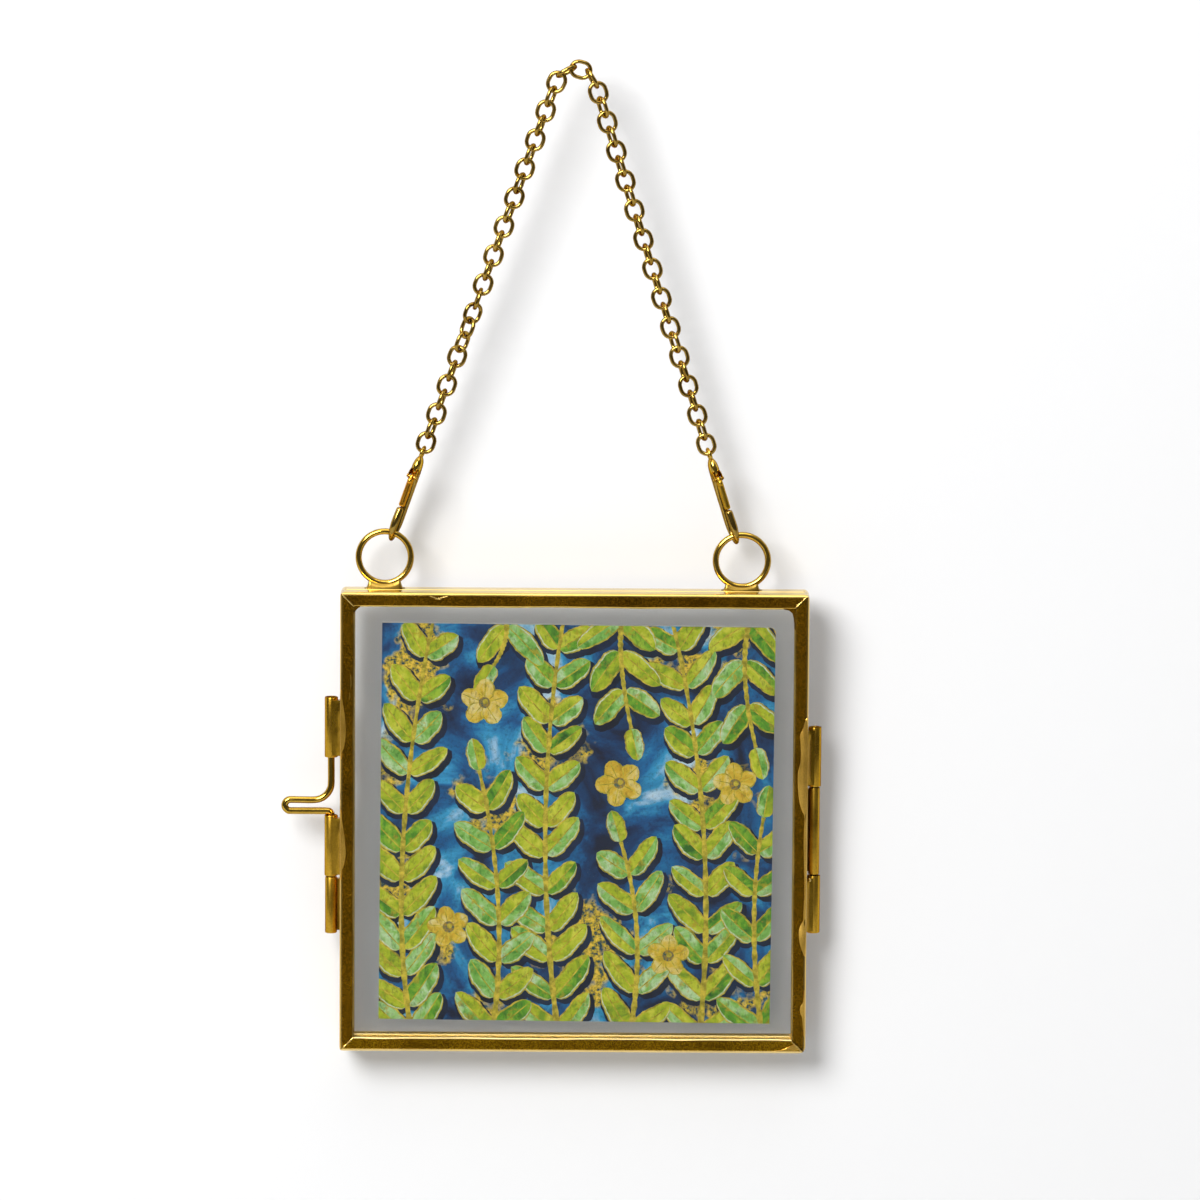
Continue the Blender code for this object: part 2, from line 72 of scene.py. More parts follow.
# Tubes of hinge and latch: name, top, bottom, outer radius, body, and how deep their solder reaches
HINGE_X = 54.05
HINGE_BORE = 0.9
HINGE_KNUCKLES = [
    ("hinge_knuckle_top", 21.8, 8.25, 1.45, "front_half", 3.0),
    ("hinge_knuckle_middle", 7.95, -11.85, 1.225, "back_half", 2.4),
    ("hinge_knuckle_bottom", -12.15, -25.3, 1.45, "front_half", 3.0),
]
LATCH_X = -54.5
LATCH_BORE = 1.05
LATCH_TUBES = [
    ("latch_tube_top", 28.0, 14.3, 1.485, "front_half", 2.6),
    ("latch_tube_middle", 1.0, -12.9, 1.485, "front_half", 2.6),
    ("latch_tube_bottom", -13.2, -26.0, 1.35, "back_half", 2.4),
]
TUBE_RIM = 0.14
BORE_RIM = 0.05

# Latch pin: its wire, the heights of its handle's two runs, and its bends
LATCH_WIRE = 0.775
HANDLE_UPPER = 4.4
HANDLE_LOWER = 1.9
HANDLE_END_X = -63.7
HANDLE_END_RADIUS = (HANDLE_UPPER - HANDLE_LOWER) / 2
UPPER_BEND = 3.9
LOWER_BEND = 0.85

# Rings on the top, and the solder saddles that they stand in
RING_RADIUS = 5.86
RING_WIRE = 0.69
RING_PLACE = {"left": Vector((-42.65, 0, 59.5)), "right": Vector((37.35, 0, 59.15))}
SADDLE_REACH = 4.6
SADDLE_SHOULDER = 4.05

# Chain: how far below the origin the centre of its bend is, the radius of the bend, and its links
ARC_DROP = 2.25
CHAIN_ARC_RADIUS = 4.5
LINK_COUNT = 54
LINK_HALF_WIDTH = 1.79
LINK_HALF_LENGTH = 2.2
LINK_WIRE = 0.45
TWIST_FROM_LINK = 5
TWIST_LINKS = 7
LINK_OPENING = math.radians(19)

# Clasps: each in its own plane, as sideways, upwards from the ring's wire, and a wire radius
CLASP_LENGTH = 20.04
CLASP_TURN = math.radians(12)
CLAW_PATH = [
    (0.2, 17.2, 0.95), (1.0, 15.6, 1.02), (1.8, 13.2, 0.92), (2.2, 10.4, 0.86), (2.4, 6.6, 0.82),
    (2.6, 2.8, 0.8), (2.4, 0.9, 0.7), (1.5, -0.7, 0.54), (0.0, -1.45, 0.46), (-1.5, -0.7, 0.56),
    (-2.45, 0.9, 0.76), (-2.75, 2.8, 0.88), (-2.43, 5.8, 0.84),
]
LEVER_PATH = [(-2.35, 13.9, 0.55), (-2.35, 13.0, 0.68), (-2.3, 10.0, 0.72), (-2.35, 7.1, 0.7)]
LEVER_PIVOT = (-2.35, 13.8)
EYE_HEIGHT = 19.42
EYE_RADIUS = 1.22
EYE_WIRE = 0.36

# Card: its middle, its turn, its half sides, its rounded upper right corner and its two faces
CARD_CENTRE = FRAME_CENTRE + Vector((0.65, 0, -0.55))
CARD_TURN = math.radians(0.4)
CARD_HALF = (44.1, 45.4)
CARD_ROUND = 1.3
CARD_ROUND_CENTRE = (CARD_HALF[0] - CARD_ROUND, CARD_HALF[1] - CARD_ROUND)
CARD_FRONT_Y = -2.45
CARD_BACK_Y = -1.75

# Print: its distance from the card's edge, its layers above the card, and the numbers of its paints
PRINT_INSET = 0.02
PRINT_BASE = 0.005
PRINT_LAYER = 0.0047
LEAF_LAYER, STEM_LAYER, PETAL_LAYER, HEART_LAYER, DOT_LAYER = 12, 24, 27, 32, 33
LIME, MINT, MOSS, LINE, RIM, PETAL, HEART, DEEP = range(8)

# Solder and wear on the front face, as outlines
FILLET_INSETS = {
    "left": [(-0.3, -0.3), (1.25, -0.3), (1.2, 0), (0.75, 0.25), (0.3, 0.7), (0, 1.25), (-0.3, 1.3)],
    "right": [
        (-0.3, -0.3), (2.6, -0.3), (2.4, 0), (1.3, 0.2), (0.55, 0.8), (0.2, 2.0), (0, 4.5), (-0.3, 4.7),
    ],
}
TABS = {
    "latch_tab_top": [
        (-52.35, 29.8), (-51.95, 28.2), (-51.35, 24.3), (-51.1, 20.9), (-51.5, 17.5), (-52.0, 16.2),
        (-52.35, 15.2),
    ],
    "latch_tab_middle": [
        (-52.35, 2.4), (-52.0, 0.8), (-51.6, -1.6), (-51.25, -4.6), (-51.1, -7.2), (-51.5, -9.6),
        (-52.0, -11.0), (-52.35, -12.6),
    ],
    "hinge_tab_top": [
        (52.35, 23.3), (51.2, 21.9), (50.65, 20.6), (50.75, 18.3), (50.8, 14.8), (50.2, 11.8), (50.3, 8.0),
        (50.75, 4.8), (51.7, 2.4), (52.35, 1.6),
    ],
    "hinge_tab_thread": [
        (52.3, 2.0), (51.85, 1.5), (51.65, -4.0), (51.75, -8.0), (51.95, -15.0), (51.75, -21.0),
        (52.3, -22.0),
    ],
    "hinge_tab_bottom": [
        (52.3, -21.8), (51.3, -22.6), (50.75, -24.3), (51.0, -27.0), (51.6, -28.9), (52.3, -29.6),
    ],
}
SMEARS = {
    "smear_bottom_right": [
        (45.3, -51.85), (47.4, -51.5), (49.2, -50.6), (50.3, -50.4), (51.2, -51.1), (50.6, -51.65),
        (48.5, -51.85),
    ],
    "run_side": [
        (52.2, -38.0), (51.95, -40.4), (51.3, -41.6), (51.25, -42.9), (51.7, -44.3), (51.9, -46.5),
        (52.2, -48.0),
    ],
}
TAB_HEIGHT = 0.18
SMEAR_HEIGHT = 0.12

# Scratches on the front face, as lines with a radius
SCRATCHES = {
    "mark_top_left": ([(-32.4, 51.75), (-31.4, 51.5), (-30.6, 51.2)], 0.08),
    "mark_top_right": ([(-30.6, 51.2), (-29.4, 51.55), (-28.4, 51.75)], 0.08),
    "mark_top_low": ([(-31.3, 51.3), (-30.6, 51.1), (-29.9, 51.05)], 0.06),
    "mark_side": ([(-50.1, 33.6), (-50.0, 32.4), (-50.05, 31.0)], 0.07),
    "mark_side_low": ([(-50.3, 29.6), (-50.25, 29.0), (-50.3, 28.4)], 0.06),
}

# Stage, lights and camera, in metres: each light is a place, a width and a power
STAGE_REACH = 2.5
FLOOR_Z = -0.6
FLOOR_FRONT_Y = -0.9
FLOOR_BACK_Y = 0.6
WALL_Y = 0.013
WALL_TILT = math.radians(-2.35)
WALL_GLOW = 0.16
LIGHTS = {"key": ((-0.75, -1.3, 0.8), 1.0, 46), "overhead": ((0.1, -0.4, 1.4), 1.3, 8)}
LIGHT_TARGET = Vector((0, 0, -0.12))
SKY = [(0.0, 0.25), (0.32, 0.11), (0.5, 0.09), (0.64, 0.10), (0.82, 0.3), (1.0, 0.6)]
CAMERA_PLACE = Vector((0.00612, -2.48, 0.332))
CAMERA_PITCH = math.radians(90 - 10.285)
CAMERA_ROLL = math.radians(0.35)
CAMERA_LENS = 337.32


def placed(name, data):
    """Puts an object with this data into the scene."""
    made = bpy.data.objects.new(name, data)
    bpy.context.scene.collection.objects.link(made)
    return made


def set_stops(ramp, stops):
    """Gives a colour ramp its stops, each a place and a colour."""
    elements = ramp.color_ramp.elements
    while len(elements) < len(stops):
        elements.new(0.5)
    for element, (place, colour) in zip(elements, stops):
        element.position = place
        element.color = (*colour, 1)


class Shader:
    """Builds one material's nodes; most methods return a socket that the next can take."""

    def __init__(self, name):
        self.material = bpy.data.materials.new(name)
        self.material.use_nodes = True
        self.tree = self.material.node_tree
        self.principled = self.tree.nodes["Principled BSDF"]

    def node(self, kind, **settings):
        made = self.tree.nodes.new("ShaderNode" + kind)
        for key, value in settings.items():
            setattr(made, key, value)
        return made

    def put(self, socket, value):
        if isinstance(value, bpy.types.NodeSocket):
            self.tree.links.new(value, socket)
        elif isinstance(value, tuple) and len(value) == 3 and socket.type == "RGBA":
            socket.default_value = (*value, 1)
        else:
            socket.default_value = value

    def fill(self, made, **inputs):
        """Sets inputs by their names, with an underscore for each space."""
        for name, value in inputs.items():
            self.put(made.inputs[name.replace("_", " ")], value)

    def coords(self, output="Object", scale=(1, 1, 1), turn=(0, 0, 0), shift=(0, 0, 0)):
        made = self.node("Mapping")
        start = self.node("TexCoord").outputs[output]
        self.fill(made, Vector=start, Scale=scale, Rotation=turn, Location=shift)
        return made.outputs["Vector"]

    def noise(self, scale, detail, roughness, vector=None, distortion=0.0):
        made = self.node("TexNoise")
        self.fill(made, Scale=scale, Detail=detail, Roughness=roughness, Distortion=distortion)
        self.fill(made, Vector=self.coords() if vector is None else vector)
        return made.outputs["Fac"]

    def ramp(self, factor, *stops):
        made = self.node("ValToRGB")
        self.fill(made, Fac=factor)
        set_stops(made, stops)
        return made.outputs["Color"]

    def span(self, value, low, high, out_low=0.0, out_high=1.0):
        made = self.node("MapRange")
        self.fill(made, Value=value, From_Min=low, From_Max=high, To_Min=out_low, To_Max=out_high)
        return made.outputs["Result"]

    def mix(self, factor, first, second):
        made = self.node("Mix", data_type="RGBA")
        for index, value in ((0, factor), (6, first), (7, second)):
            self.put(made.inputs[index], value)
        return made.outputs[2]

    def math(self, operation, first, second=0.0):
        made = self.node("Math", operation=operation)
        self.put(made.inputs[0], first)
        self.put(made.inputs[1], second)
        return made.outputs[0]

    def axis(self, vector, name):
        made = self.node("SeparateXYZ")
        self.put(made.inputs[0], vector)
        return made.outputs[name]

    def bump(self, height, strength):
        """Raises the surface by up to 0.02 mm."""
        made = self.node("Bump")
        self.fill(made, Strength=strength, Distance=0.02 * MM, Height=height)
        self.fill(self.principled, Normal=made.outputs["Normal"])

    def set(self, **inputs):
        """Sets the surface's own inputs, and gives the finished material."""
        self.fill(self.principled, **inputs)
        return self.material


def scaled(colour, factor):
    return tuple(min(c * factor, 1) for c in colour)


def brass(name, dark, light, roughness=(0.22, 0.4), grain=2600, strength=0.12, edge=(1, 1, 1)):
    """Brass with cloudy tone, fine grain and a few stretched polishing marks."""
    s = Shader(name)
    cloud = s.noise(90, 6, 0.6)
    colour = s.ramp(cloud, (0.3, dark), (0.7, light))
    fine = s.noise(grain, 3, 0.6)
    colour = s.mix(s.span(fine, 0.35, 0.65, 0.0, 0.35), colour, scaled(dark, 0.55))
    marks = s.noise(900, 2, 0.5, s.coords(scale=(1, 1, 6), turn=(0, 0.7, 0.4)))
    s.bump(s.math("ADD", fine, s.math("MULTIPLY", marks, 0.5)), strength)
    rough = s.span(cloud, 0.3, 0.7, *roughness)
    return s.set(Base_Color=colour, Metallic=1.0, Roughness=rough, Specular_Tint=edge)


def wire_brass(name, dark, light, roughness, strength=0.12):
    """Brass for round wires, which darkens where they turn away."""
    return brass(name, dark, light, roughness, strength=strength, edge=(0.25, 0.13, 0.03))


def bar_brass(name, dark, light, rim, rough_low=0.24):
    """Satin brass with painted shade on its flat front and a painted highlight where the edges turn away; the
    front is also rougher.
    """
    s = Shader(name)
    facing = s.math("ABSOLUTE", s.axis(s.coords("Normal"), "Y"))
    cloud = s.noise(70, 6, 0.6)
    fine = s.noise(3400, 2, 0.6)
    streak = s.noise(700, 3, 0.6, s.coords(turn=(0, 0.3, 0)))
    tone = s.math("ADD", s.math("MULTIPLY", cloud, 0.6), s.math("MULTIPLY", streak, 0.4))
    # Painted shade: the darker colour of faces turned straight ahead, front and back alike, with its tone,
    # streaks and grain.
    shaded_front = s.ramp(tone, (0.35, dark), (0.68, light))
    shaded_front = s.mix(s.span(fine, 0.5, 0.66, 0.0, 0.6), shaded_front, scaled(light, 2.0))
    shaded_front = s.mix(s.span(fine, 0.5, 0.36, 0.0, 0.6), shaded_front, scaled(dark, 0.3))
    # Painted highlight: the pale colour of the tops, the sides and the rounded edges, where the bars catch
    # the light.
    bright = s.ramp(cloud, (0.3, scaled(rim, 0.8)), (0.7, rim))
    # share is 1 on faces turned straight ahead, which take the painted shade, and 0 where they turn away,
    # which take the painted highlight.
    share = s.span(facing, 0.93, 0.998)
    s.bump(s.math("ADD", fine, s.math("MULTIPLY", streak, 0.6)), 0.16)
    rough = s.math("ADD", s.math("MULTIPLY", share, rough_low - 0.16), s.span(cloud, 0.3, 0.7, 0.14, 0.2))
    return s.set(Base_Color=s.mix(share, bright, shaded_front), Metallic=1.0, Roughness=rough)


def glass_material():
    """Clear glass with faint smears."""
    s = Shader("clear_glass_finish")
    smear = s.span(s.noise(40, 3, 0.6), 0.55, 0.8, 0.0, 0.015)
    return s.set(Base_Color=(0.99, 1.0, 0.995), Roughness=smear, Transmission_Weight=1.0, IOR=1.5)


# One copy of the bar brass for the top bar, one for the sides and one for the bottom, with painted shade and
# painted highlight set for how the light falls on each; the bottom's copy is painted lighter all over.
BAR_DARK = bar_brass("bar_brass_dark", (0.28, 0.125, 0.005), (0.48, 0.23, 0.010), (0.88, 0.63, 0.17))
BAR_SIDE = bar_brass("bar_brass_side", (0.30, 0.138, 0.004), (0.50, 0.24, 0.008), (0.85, 0.56, 0.15), 0.25)
BAR_LOW_LIT = bar_brass("bar_brass_low_lit", (0.38, 0.18, 0.005), (0.62, 0.31, 0.010), (0.95, 0.72, 0.30), 0.27)
# Painted highlight: the faces inside the channels get a much brighter brass than the bars, so that they look
# lit through the glass.
BAR_INSIDE_HIGHLIGHT = brass("bar_brass_inside_highlight", (0.90, 0.55, 0.10), (0.98, 0.66, 0.16), (0.42, 0.5))
TUBE = wire_brass("tube_brass", (0.52, 0.29, 0.025), (0.74, 0.45, 0.05), (0.24, 0.38))
TAB = brass("tab_solder", (0.70, 0.40, 0.06), (0.84, 0.52, 0.10), (0.32, 0.45), grain=3000)
SOLDER = brass("solder", (0.80, 0.54, 0.13), (0.95, 0.72, 0.26), (0.18, 0.34), grain=1500, strength=0.2)
FOOT = brass("ring_foot", (0.27, 0.16, 0.022), (0.48, 0.31, 0.06), (0.26, 0.4), strength=0.15)
SOLDER_DARK = brass("solder_dark", (0.34, 0.19, 0.012), (0.52, 0.31, 0.03), (0.25, 0.4), strength=0.2)
POLISHED = wire_brass("polished_brass", (0.54, 0.33, 0.04), (0.76, 0.50, 0.10), (0.1, 0.2), 0.05)
CHAIN = wire_brass("chain_brass", (0.33, 0.20, 0.035), (0.56, 0.37, 0.085), (0.12, 0.24), 0.06)
# Painted light: a brighter, more orange copy of the tube brass, for the left lever, which faces the light.
AMBER_LIT = wire_brass("amber_brass_lit", (0.70, 0.30, 0.02), (0.86, 0.42, 0.04), (0.18, 0.3), 0.08)
# Painted shade: near-black brass for the ridge that stands for the shade of a groove beside the right mitres.
SHADE_LINE = brass("mitre_shade_line", (0.04, 0.022, 0.002), (0.09, 0.055, 0.006), (0.4, 0.6))
PIN = brass("hidden_pin_brass", (0.14, 0.09, 0.01), (0.22, 0.15, 0.02))
GLASS = glass_material()


def mesh_piece(name, shape, materials, body, nodes=(), sharp=40):
    """Makes a finished piece that rides on its body, in place of the nodes that it stands for."""
    verts, faces = shape
    mesh = bpy.data.meshes.new(name)
    mesh.from_pydata([tuple(v * MM) for v in verts], [], faces)
    tidy = bmesh.new()
    tidy.from_mesh(mesh)
    bmesh.ops.recalc_face_normals(tidy, faces=tidy.faces)
    tidy.to_mesh(mesh)
    tidy.free()
    for each in materials if isinstance(materials, list) else [materials]:
        mesh.materials.append(each)
    mesh.shade_smooth()
    mesh.set_sharp_from_angle(angle=math.radians(sharp))
    made = placed(name, mesh)
    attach(made, body)
    if nodes:
        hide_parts(*nodes)
    return made


def joined(*shapes):
    """Puts several lists of verts and faces together as one."""
    verts, faces = [], []
    for more_verts, more_faces in shapes:
        offset = len(verts)
        verts += more_verts
        faces += [tuple(i + offset for i in face) for face in more_faces]
    return verts, faces


def moved(shape, matrix):
    return [matrix @ v for v in shape[0]], shape[1]


def bands(count, n, closed=False):
    """Gives the faces between rings of n points each, with flat ends unless the last meets the first."""
    faces = []
    for i in range(count if closed else count - 1):
        j = (i + 1) % count
        for k in range(n):
            m = (k + 1) % n
            faces.append((i * n + k, i * n + m, j * n + m, j * n + k))
    if not closed:
        faces.append(tuple(reversed(range(n))))
        faces.append(tuple((count - 1) * n + k for k in range(n)))
    return faces


def swept(path, radii, frames, sides=16, flatten=1.0, closed=False):
    """Gives a round wire along a path, with its radius at each point."""
    verts = []
    for point, radius, (across, up) in zip(path, radii, frames):
        for k in range(sides):
            angle = math.tau * k / sides
            out = across * (radius * math.cos(angle)) + up * (radius * flatten * math.sin(angle))
            verts.append(point + out)
    return verts, bands(len(path), sides, closed)


def planar_frames(path, normal, closed=False):
    """Gives each point's sideways direction in the path's plane, and the plane's normal."""
    frames = []
    count = len(path)
    for i in range(count):
        before = path[i - 1] if i or closed else path[i]
        after = path[(i + 1) % count] if i < count - 1 or closed else path[i]
        along = (after - before).normalized()
        frames.append((along.cross(normal).normalized(), normal))
    return frames


def ring_of_wire(centre, radius, wire, steps, sides):
    """Gives an upright ring that faces the front."""
    angles = [math.tau * i / steps for i in range(steps)]
    path = [centre + radius * Vector((math.cos(angle), 0, math.sin(angle))) for angle in angles]
    return swept(path, [wire] * steps, planar_frames(path, BACK, True), sides, closed=True)


def curve_point(a, b, c, d, t):
    """Gives the point at share t of the smooth stretch from b to c, with a before it and d after it."""
    bend = 2 * a - 5 * b + 4 * c - d
    twist = 3 * b - a - 3 * c + d
    return 0.5 * (2 * b + (c - a) * t + bend * t**2 + twist * t**3)


def smooth_path(points, steps=6):
    """Runs a smooth line through points that end in a radius, and rounds both of its ends off."""
    rows = [Vector(p) for p in points]
    rows = [rows[0] * 2 - rows[1]] + rows + [rows[-1] * 2 - rows[-2]]
    made = []
    for i in range(1, len(rows) - 2):
        made += [curve_point(*rows[i - 1 : i + 3], step / steps) for step in range(steps)]
    made.append(rows[-2])
    path = [row.xyz for row in made]
    radii = [row.w for row in made]
    for _ in ("last end", "first end"):
        end, radius = path[-1], radii[-1]
        out = (end - path[-2]).normalized()
        for step in range(1, 5):
            angle = math.radians(86) * step / 4
            path.append(end + out * radius * 0.8 * math.sin(angle))
            radii.append(radius * math.cos(angle))
        path.reverse()
        radii.reverse()
    return path, radii


def smooth_outline(points, steps=5):
    """Runs a closed smooth line through flat points."""
    made = []
    n = len(points)
    for i in range(n):
        near = [Vector(points[(i + k) % n]) for k in (-1, 0, 1, 2)]
        made += [curve_point(*near, step / steps) for step in range(steps)]
    return made


def arc(x, z, radius, angles):
    """Gives flat points round a centre, at angles in radians from its right."""
    return [(x + radius * math.cos(angle), z + radius * math.sin(angle)) for angle in angles]


def laid_wire(rows, y, sides, flatten=1.0, steps=6):
    """Gives a wire through rows of X, Y, Z and radius from the frame's middle, moved back by y."""
    path, radii = smooth_path(rows, steps)
    path = [point + FRAME_CENTRE + BACK * y for point in path]
    return swept(path, radii, planar_frames(path, BACK), sides, flatten)


def lathe(profile, centre, steps=40):
    """Gives a closed section of radius and height turned about an upright axis."""
    verts = []
    for i in range(steps):
        angle = math.tau * i / steps
        for radius, height in profile:
            verts.append(centre + Vector((radius * math.cos(angle), radius * math.sin(angle), height)))
    return verts, bands(steps, len(profile), closed=True)


def ball(centre, sizes, segments=24, rings=14):
    """Gives an ellipsoid."""
    def spot(theta, phi):
        around = (math.sin(theta) * math.cos(phi), math.sin(theta) * math.sin(phi), math.cos(theta))
        return Vector([c + size * a for c, size, a in zip(centre, sizes, around)])

    verts = [spot(0, 0)]
    for i in range(1, rings):
        verts += [spot(math.pi * i / rings, math.tau * k / segments) for k in range(segments)]
    verts.append(spot(math.pi, 0))
    last = len(verts) - 1
    lowest = last - segments
    faces = []
    for k in range(segments):
        m = (k + 1) % segments
        faces.append((0, 1 + k, 1 + m))
        for row in range(1, lowest, segments):
            faces.append((row + k, row + segments + k, row + segments + m, row + m))
        faces.append((last, lowest + m, lowest + k))
    return verts, faces


def plate(outline, depth, height, crown):
    """Gives a thin patch that starts at a depth in the front face, its edges sloping down to the face."""
    rim = [Vector((x, FRONT_FACE_Y + depth, z)) for x, z in outline]
    centre = sum(rim, Vector()) / len(rim)
    levels = [(1.0, 0.0), (1.0, 0.35), (0.93, 0.8), (0.8, 1.0)]
    verts = []
    for shrink, rise in levels:
        for point in rim:
            inward = centre - point
            inward.z *= 0.25
            verts.append(FRAME_CENTRE + point + inward * (1 - shrink) * crown - BACK * height * rise)
    return verts, bands(len(levels), len(rim))


def bar_profile():
    """Gives a bar's section, as inwards from its side and backwards from its face."""
    angles = [math.radians(90) * step / 8 for step in range(9)]
    points = [(EDGE_ROUND * (1 - math.cos(a)), EDGE_ROUND * (1 - math.sin(a))) for a in angles]
    points += [(0.85, 0.0), (2.78, 0.0), (2.88, 0.0), (3.04, 0.05), (3.17, 0.15), (3.27, 0.3)]
    points += [(BAR_WIDTH, 0.48), (BAR_WIDTH, 0.75), (3.2, 0.94), (3.05, 1.0)]
    points += [(0.7, 1.0), (0.7, 3.65)]
    points += [(3.05, 3.65), (3.24, 3.7), (BAR_WIDTH, 3.76), (BAR_WIDTH, 3.88), (3.22, 3.95)]
    points += [(0.12, 3.95), (0.0, 3.83)]
    return points


# Faces of the bar's section inside the channel, which take the brass with the painted highlight.
CHANNEL_HIGHLIGHT_EDGES = range(18, 22)


def frame_bar(half, side, quarter_turns):
    """Makes one mitred bar with its outer corners rounded and its front lip a little uneven."""
    front = half == "front"
    face_y, inward = (FRONT_FACE_Y, 1) if front else (BACK_FACE_Y, -1)
    profile = bar_profile()
    ends = (0.955, 0.963, 0.97, 0.976, 0.981, 0.986, 0.991, 0.996, 1.0)
    stations = [-e for e in reversed(ends)] + [i / 30 for i in range(-28, 29)] + list(ends)
    turn = Matrix.Rotation(math.radians(90) * quarter_turns, 4, "Y")
    verts = []
    for station in stations:
        corner = BACK_CORNER_RADIUS
        if front:
            corner = FRONT_CORNER_RADII[quarter_turns if station < 0 else (quarter_turns - 1) % 4]
        wave = math.sin(station * 9 + quarter_turns * 2) + 0.6 * math.sin(station * 23 + quarter_turns)
        for distance_in, distance_back in profile:
            along = station * (HALF_SIDE - distance_in - MITRE_GAP)
            near_corner = HALF_SIDE - abs(along)
            height = distance_in
            if near_corner < corner:
                lift = corner - math.sqrt(max(corner**2 - (corner - near_corner) ** 2, 0))
                height = max(distance_in, lift)
            if front and distance_in > 3 and distance_back < 1.1 and abs(station) < 0.96:
                height += 0.05 * wave
            point = Vector((along, face_y + inward * distance_back, height - HALF_SIDE))
            verts.append(turn @ point + FRAME_CENTRE)
    shape = verts, bands(len(stations), len(profile))
    # Each bar takes its own copy of the brass, with painted light set for that bar.
    finish = {"top": BAR_DARK, "bottom": BAR_LOW_LIT}.get(side, BAR_SIDE)
    name = f"{half}_bar_{side}"
    materials = [finish, BAR_INSIDE_HIGHLIGHT]
    made = mesh_piece(f"{name}_finish", shape, materials, f"{half}_half", [name], 35)
    # Faces inside the channel take the brass with the painted highlight.
    for polygon in list(made.data.polygons)[:-2]:
        if polygon.index % len(profile) in CHANNEL_HIGHLIGHT_EDGES:
            polygon.material_index = 1


def mitre_solder(half, across, upright):
    """Makes the ridge of solder along one mitre, and on the right a near-black ridge beside it, the painted
    shade of a groove.
    """
    face_y = FRONT_FACE_Y - 0.01 if half == "front" else BACK_FACE_Y + 0.01
    where = f"{'top' if upright > 0 else 'bottom'}_{'left' if across < 0 else 'right'}"
    ridges = [("", 0.0, 0.17, SOLDER)]
    if across > 0:
        ridges = [("", -0.14, 0.13, SOLDER), ("_shade_line", 0.1, 0.12, SHADE_LINE)]
    for suffix, beside, thick, finish in ridges:
        rows = [
            (across * (out + beside), 0.03 * math.sin(out * 5), upright * (out - beside), thick * swell)
            for out, swell in ((52.0, 0.5), (51.4, 1.1), (50.9, 0.85), (50.3, 1.1), (49.8, 0.9), (49.4, 0.6))
        ]
        shape = laid_wire(rows, face_y, 12, 0.8)
        name = f"{half}_mitre_{where}{suffix}"
        mesh_piece(name, shape, finish, f"{half}_half", sharp=60)


def corner_solder():
    """Makes the solder in the mitres, and that which rounds the upper inner corners."""
    for half in ("front", "back"):
        for across in (-1, 1):
            for upright in (-1, 1):
                mitre_solder(half, across, upright)
    for side, insets in FILLET_INSETS.items():
        points = [(SIGN[side] * (INNER_HALF - inset), INNER_HALF - drop) for inset, drop in insets]
        shape = plate(points, 0.95, 0.93, 0.15)
        mesh_piece(f"front_fillet_top_{side}", shape, BAR_DARK, "front_half")


def solder_web(x, low, high, towards, reach):
    """Gives the solder between a tube and the side of its half, with its ends drawn in."""
    gap = abs(x) - HALF_SIDE
    section = [
        (0.02, 0.3), (0.02, reach), (gap * 0.22, reach * 0.82), (gap * 0.45, 1.75), (gap * 0.95, 1.46),
        (gap * 0.75, 1.2), (gap * 0.35, 0.35),
    ]
    stations = 25
    verts = []
    for i in range(stations):
        share = i / (stations - 1)
        height = low + (high - low) * share
        swell = min(1.0, 0.35 + 3.2 * min(share, 1 - share))
        swell *= 1 + 0.06 * math.sin(share * 21) + 0.04 * math.sin(share * 47)
        for out, depth in section:
            spread = depth if depth < 1.5 else 1.46 + (depth - 1.46) * swell
            point = Vector((math.copysign(HALF_SIDE + out, x), PARTING_Y + towards * spread, height))
            verts.append(FRAME_CENTRE + point)
    return verts, bands(stations, len(section))


def tube(x, bore, name, top, bottom, outer, body, reach):
    """Makes a tube with rolled rims and the solder that holds it."""
    rim, slope = TUBE_RIM, TUBE_RIM * 0.3
    profile = [
        (outer - rim, top), (outer - slope, top - slope), (outer, top - rim), (outer, bottom + rim),
        (outer - slope, bottom + slope), (outer - rim, bottom), (bore + BORE_RIM, bottom),
        (bore, bottom + BORE_RIM), (bore, top - BORE_RIM), (bore + BORE_RIM, top),
    ]
    shape = lathe(profile, FRAME_CENTRE + Vector((x, PARTING_Y, 0)))
    mesh_piece(f"{name}_finish", shape, TUBE, body, [name], sharp=30)
    towards = -1 if body == "front_half" else 1
    web = solder_web(x, bottom + 0.5, top - 0.5, towards, reach)
    mesh_piece(f"{name}_solder", web, SOLDER_DARK, body, sharp=35)


def hinge():
    """Makes the three knuckles, the wire that runs through them and a drop of solder."""
    for row in HINGE_KNUCKLES:
        tube(HINGE_X, HINGE_BORE, *row)
    path = [FRAME_CENTRE + Vector((HINGE_X, PARTING_Y, z)) for z in (21.3, 21.2, -24.7, -24.8)]
    shape = swept(path, (0.5, 0.6, 0.6, 0.5), [(Vector((1, 0, 0)), BACK)] * 4, 24)
    mesh_piece("hinge_pin_finish", shape, PIN, "back_half", ["hinge_pin"])
    drop = ball(FRAME_CENTRE + Vector((53.15, -4.1, -12.95)), (0.32, 0.3, 0.42))
    mesh_piece("hinge_solder_drop", drop, SOLDER, "front_half")


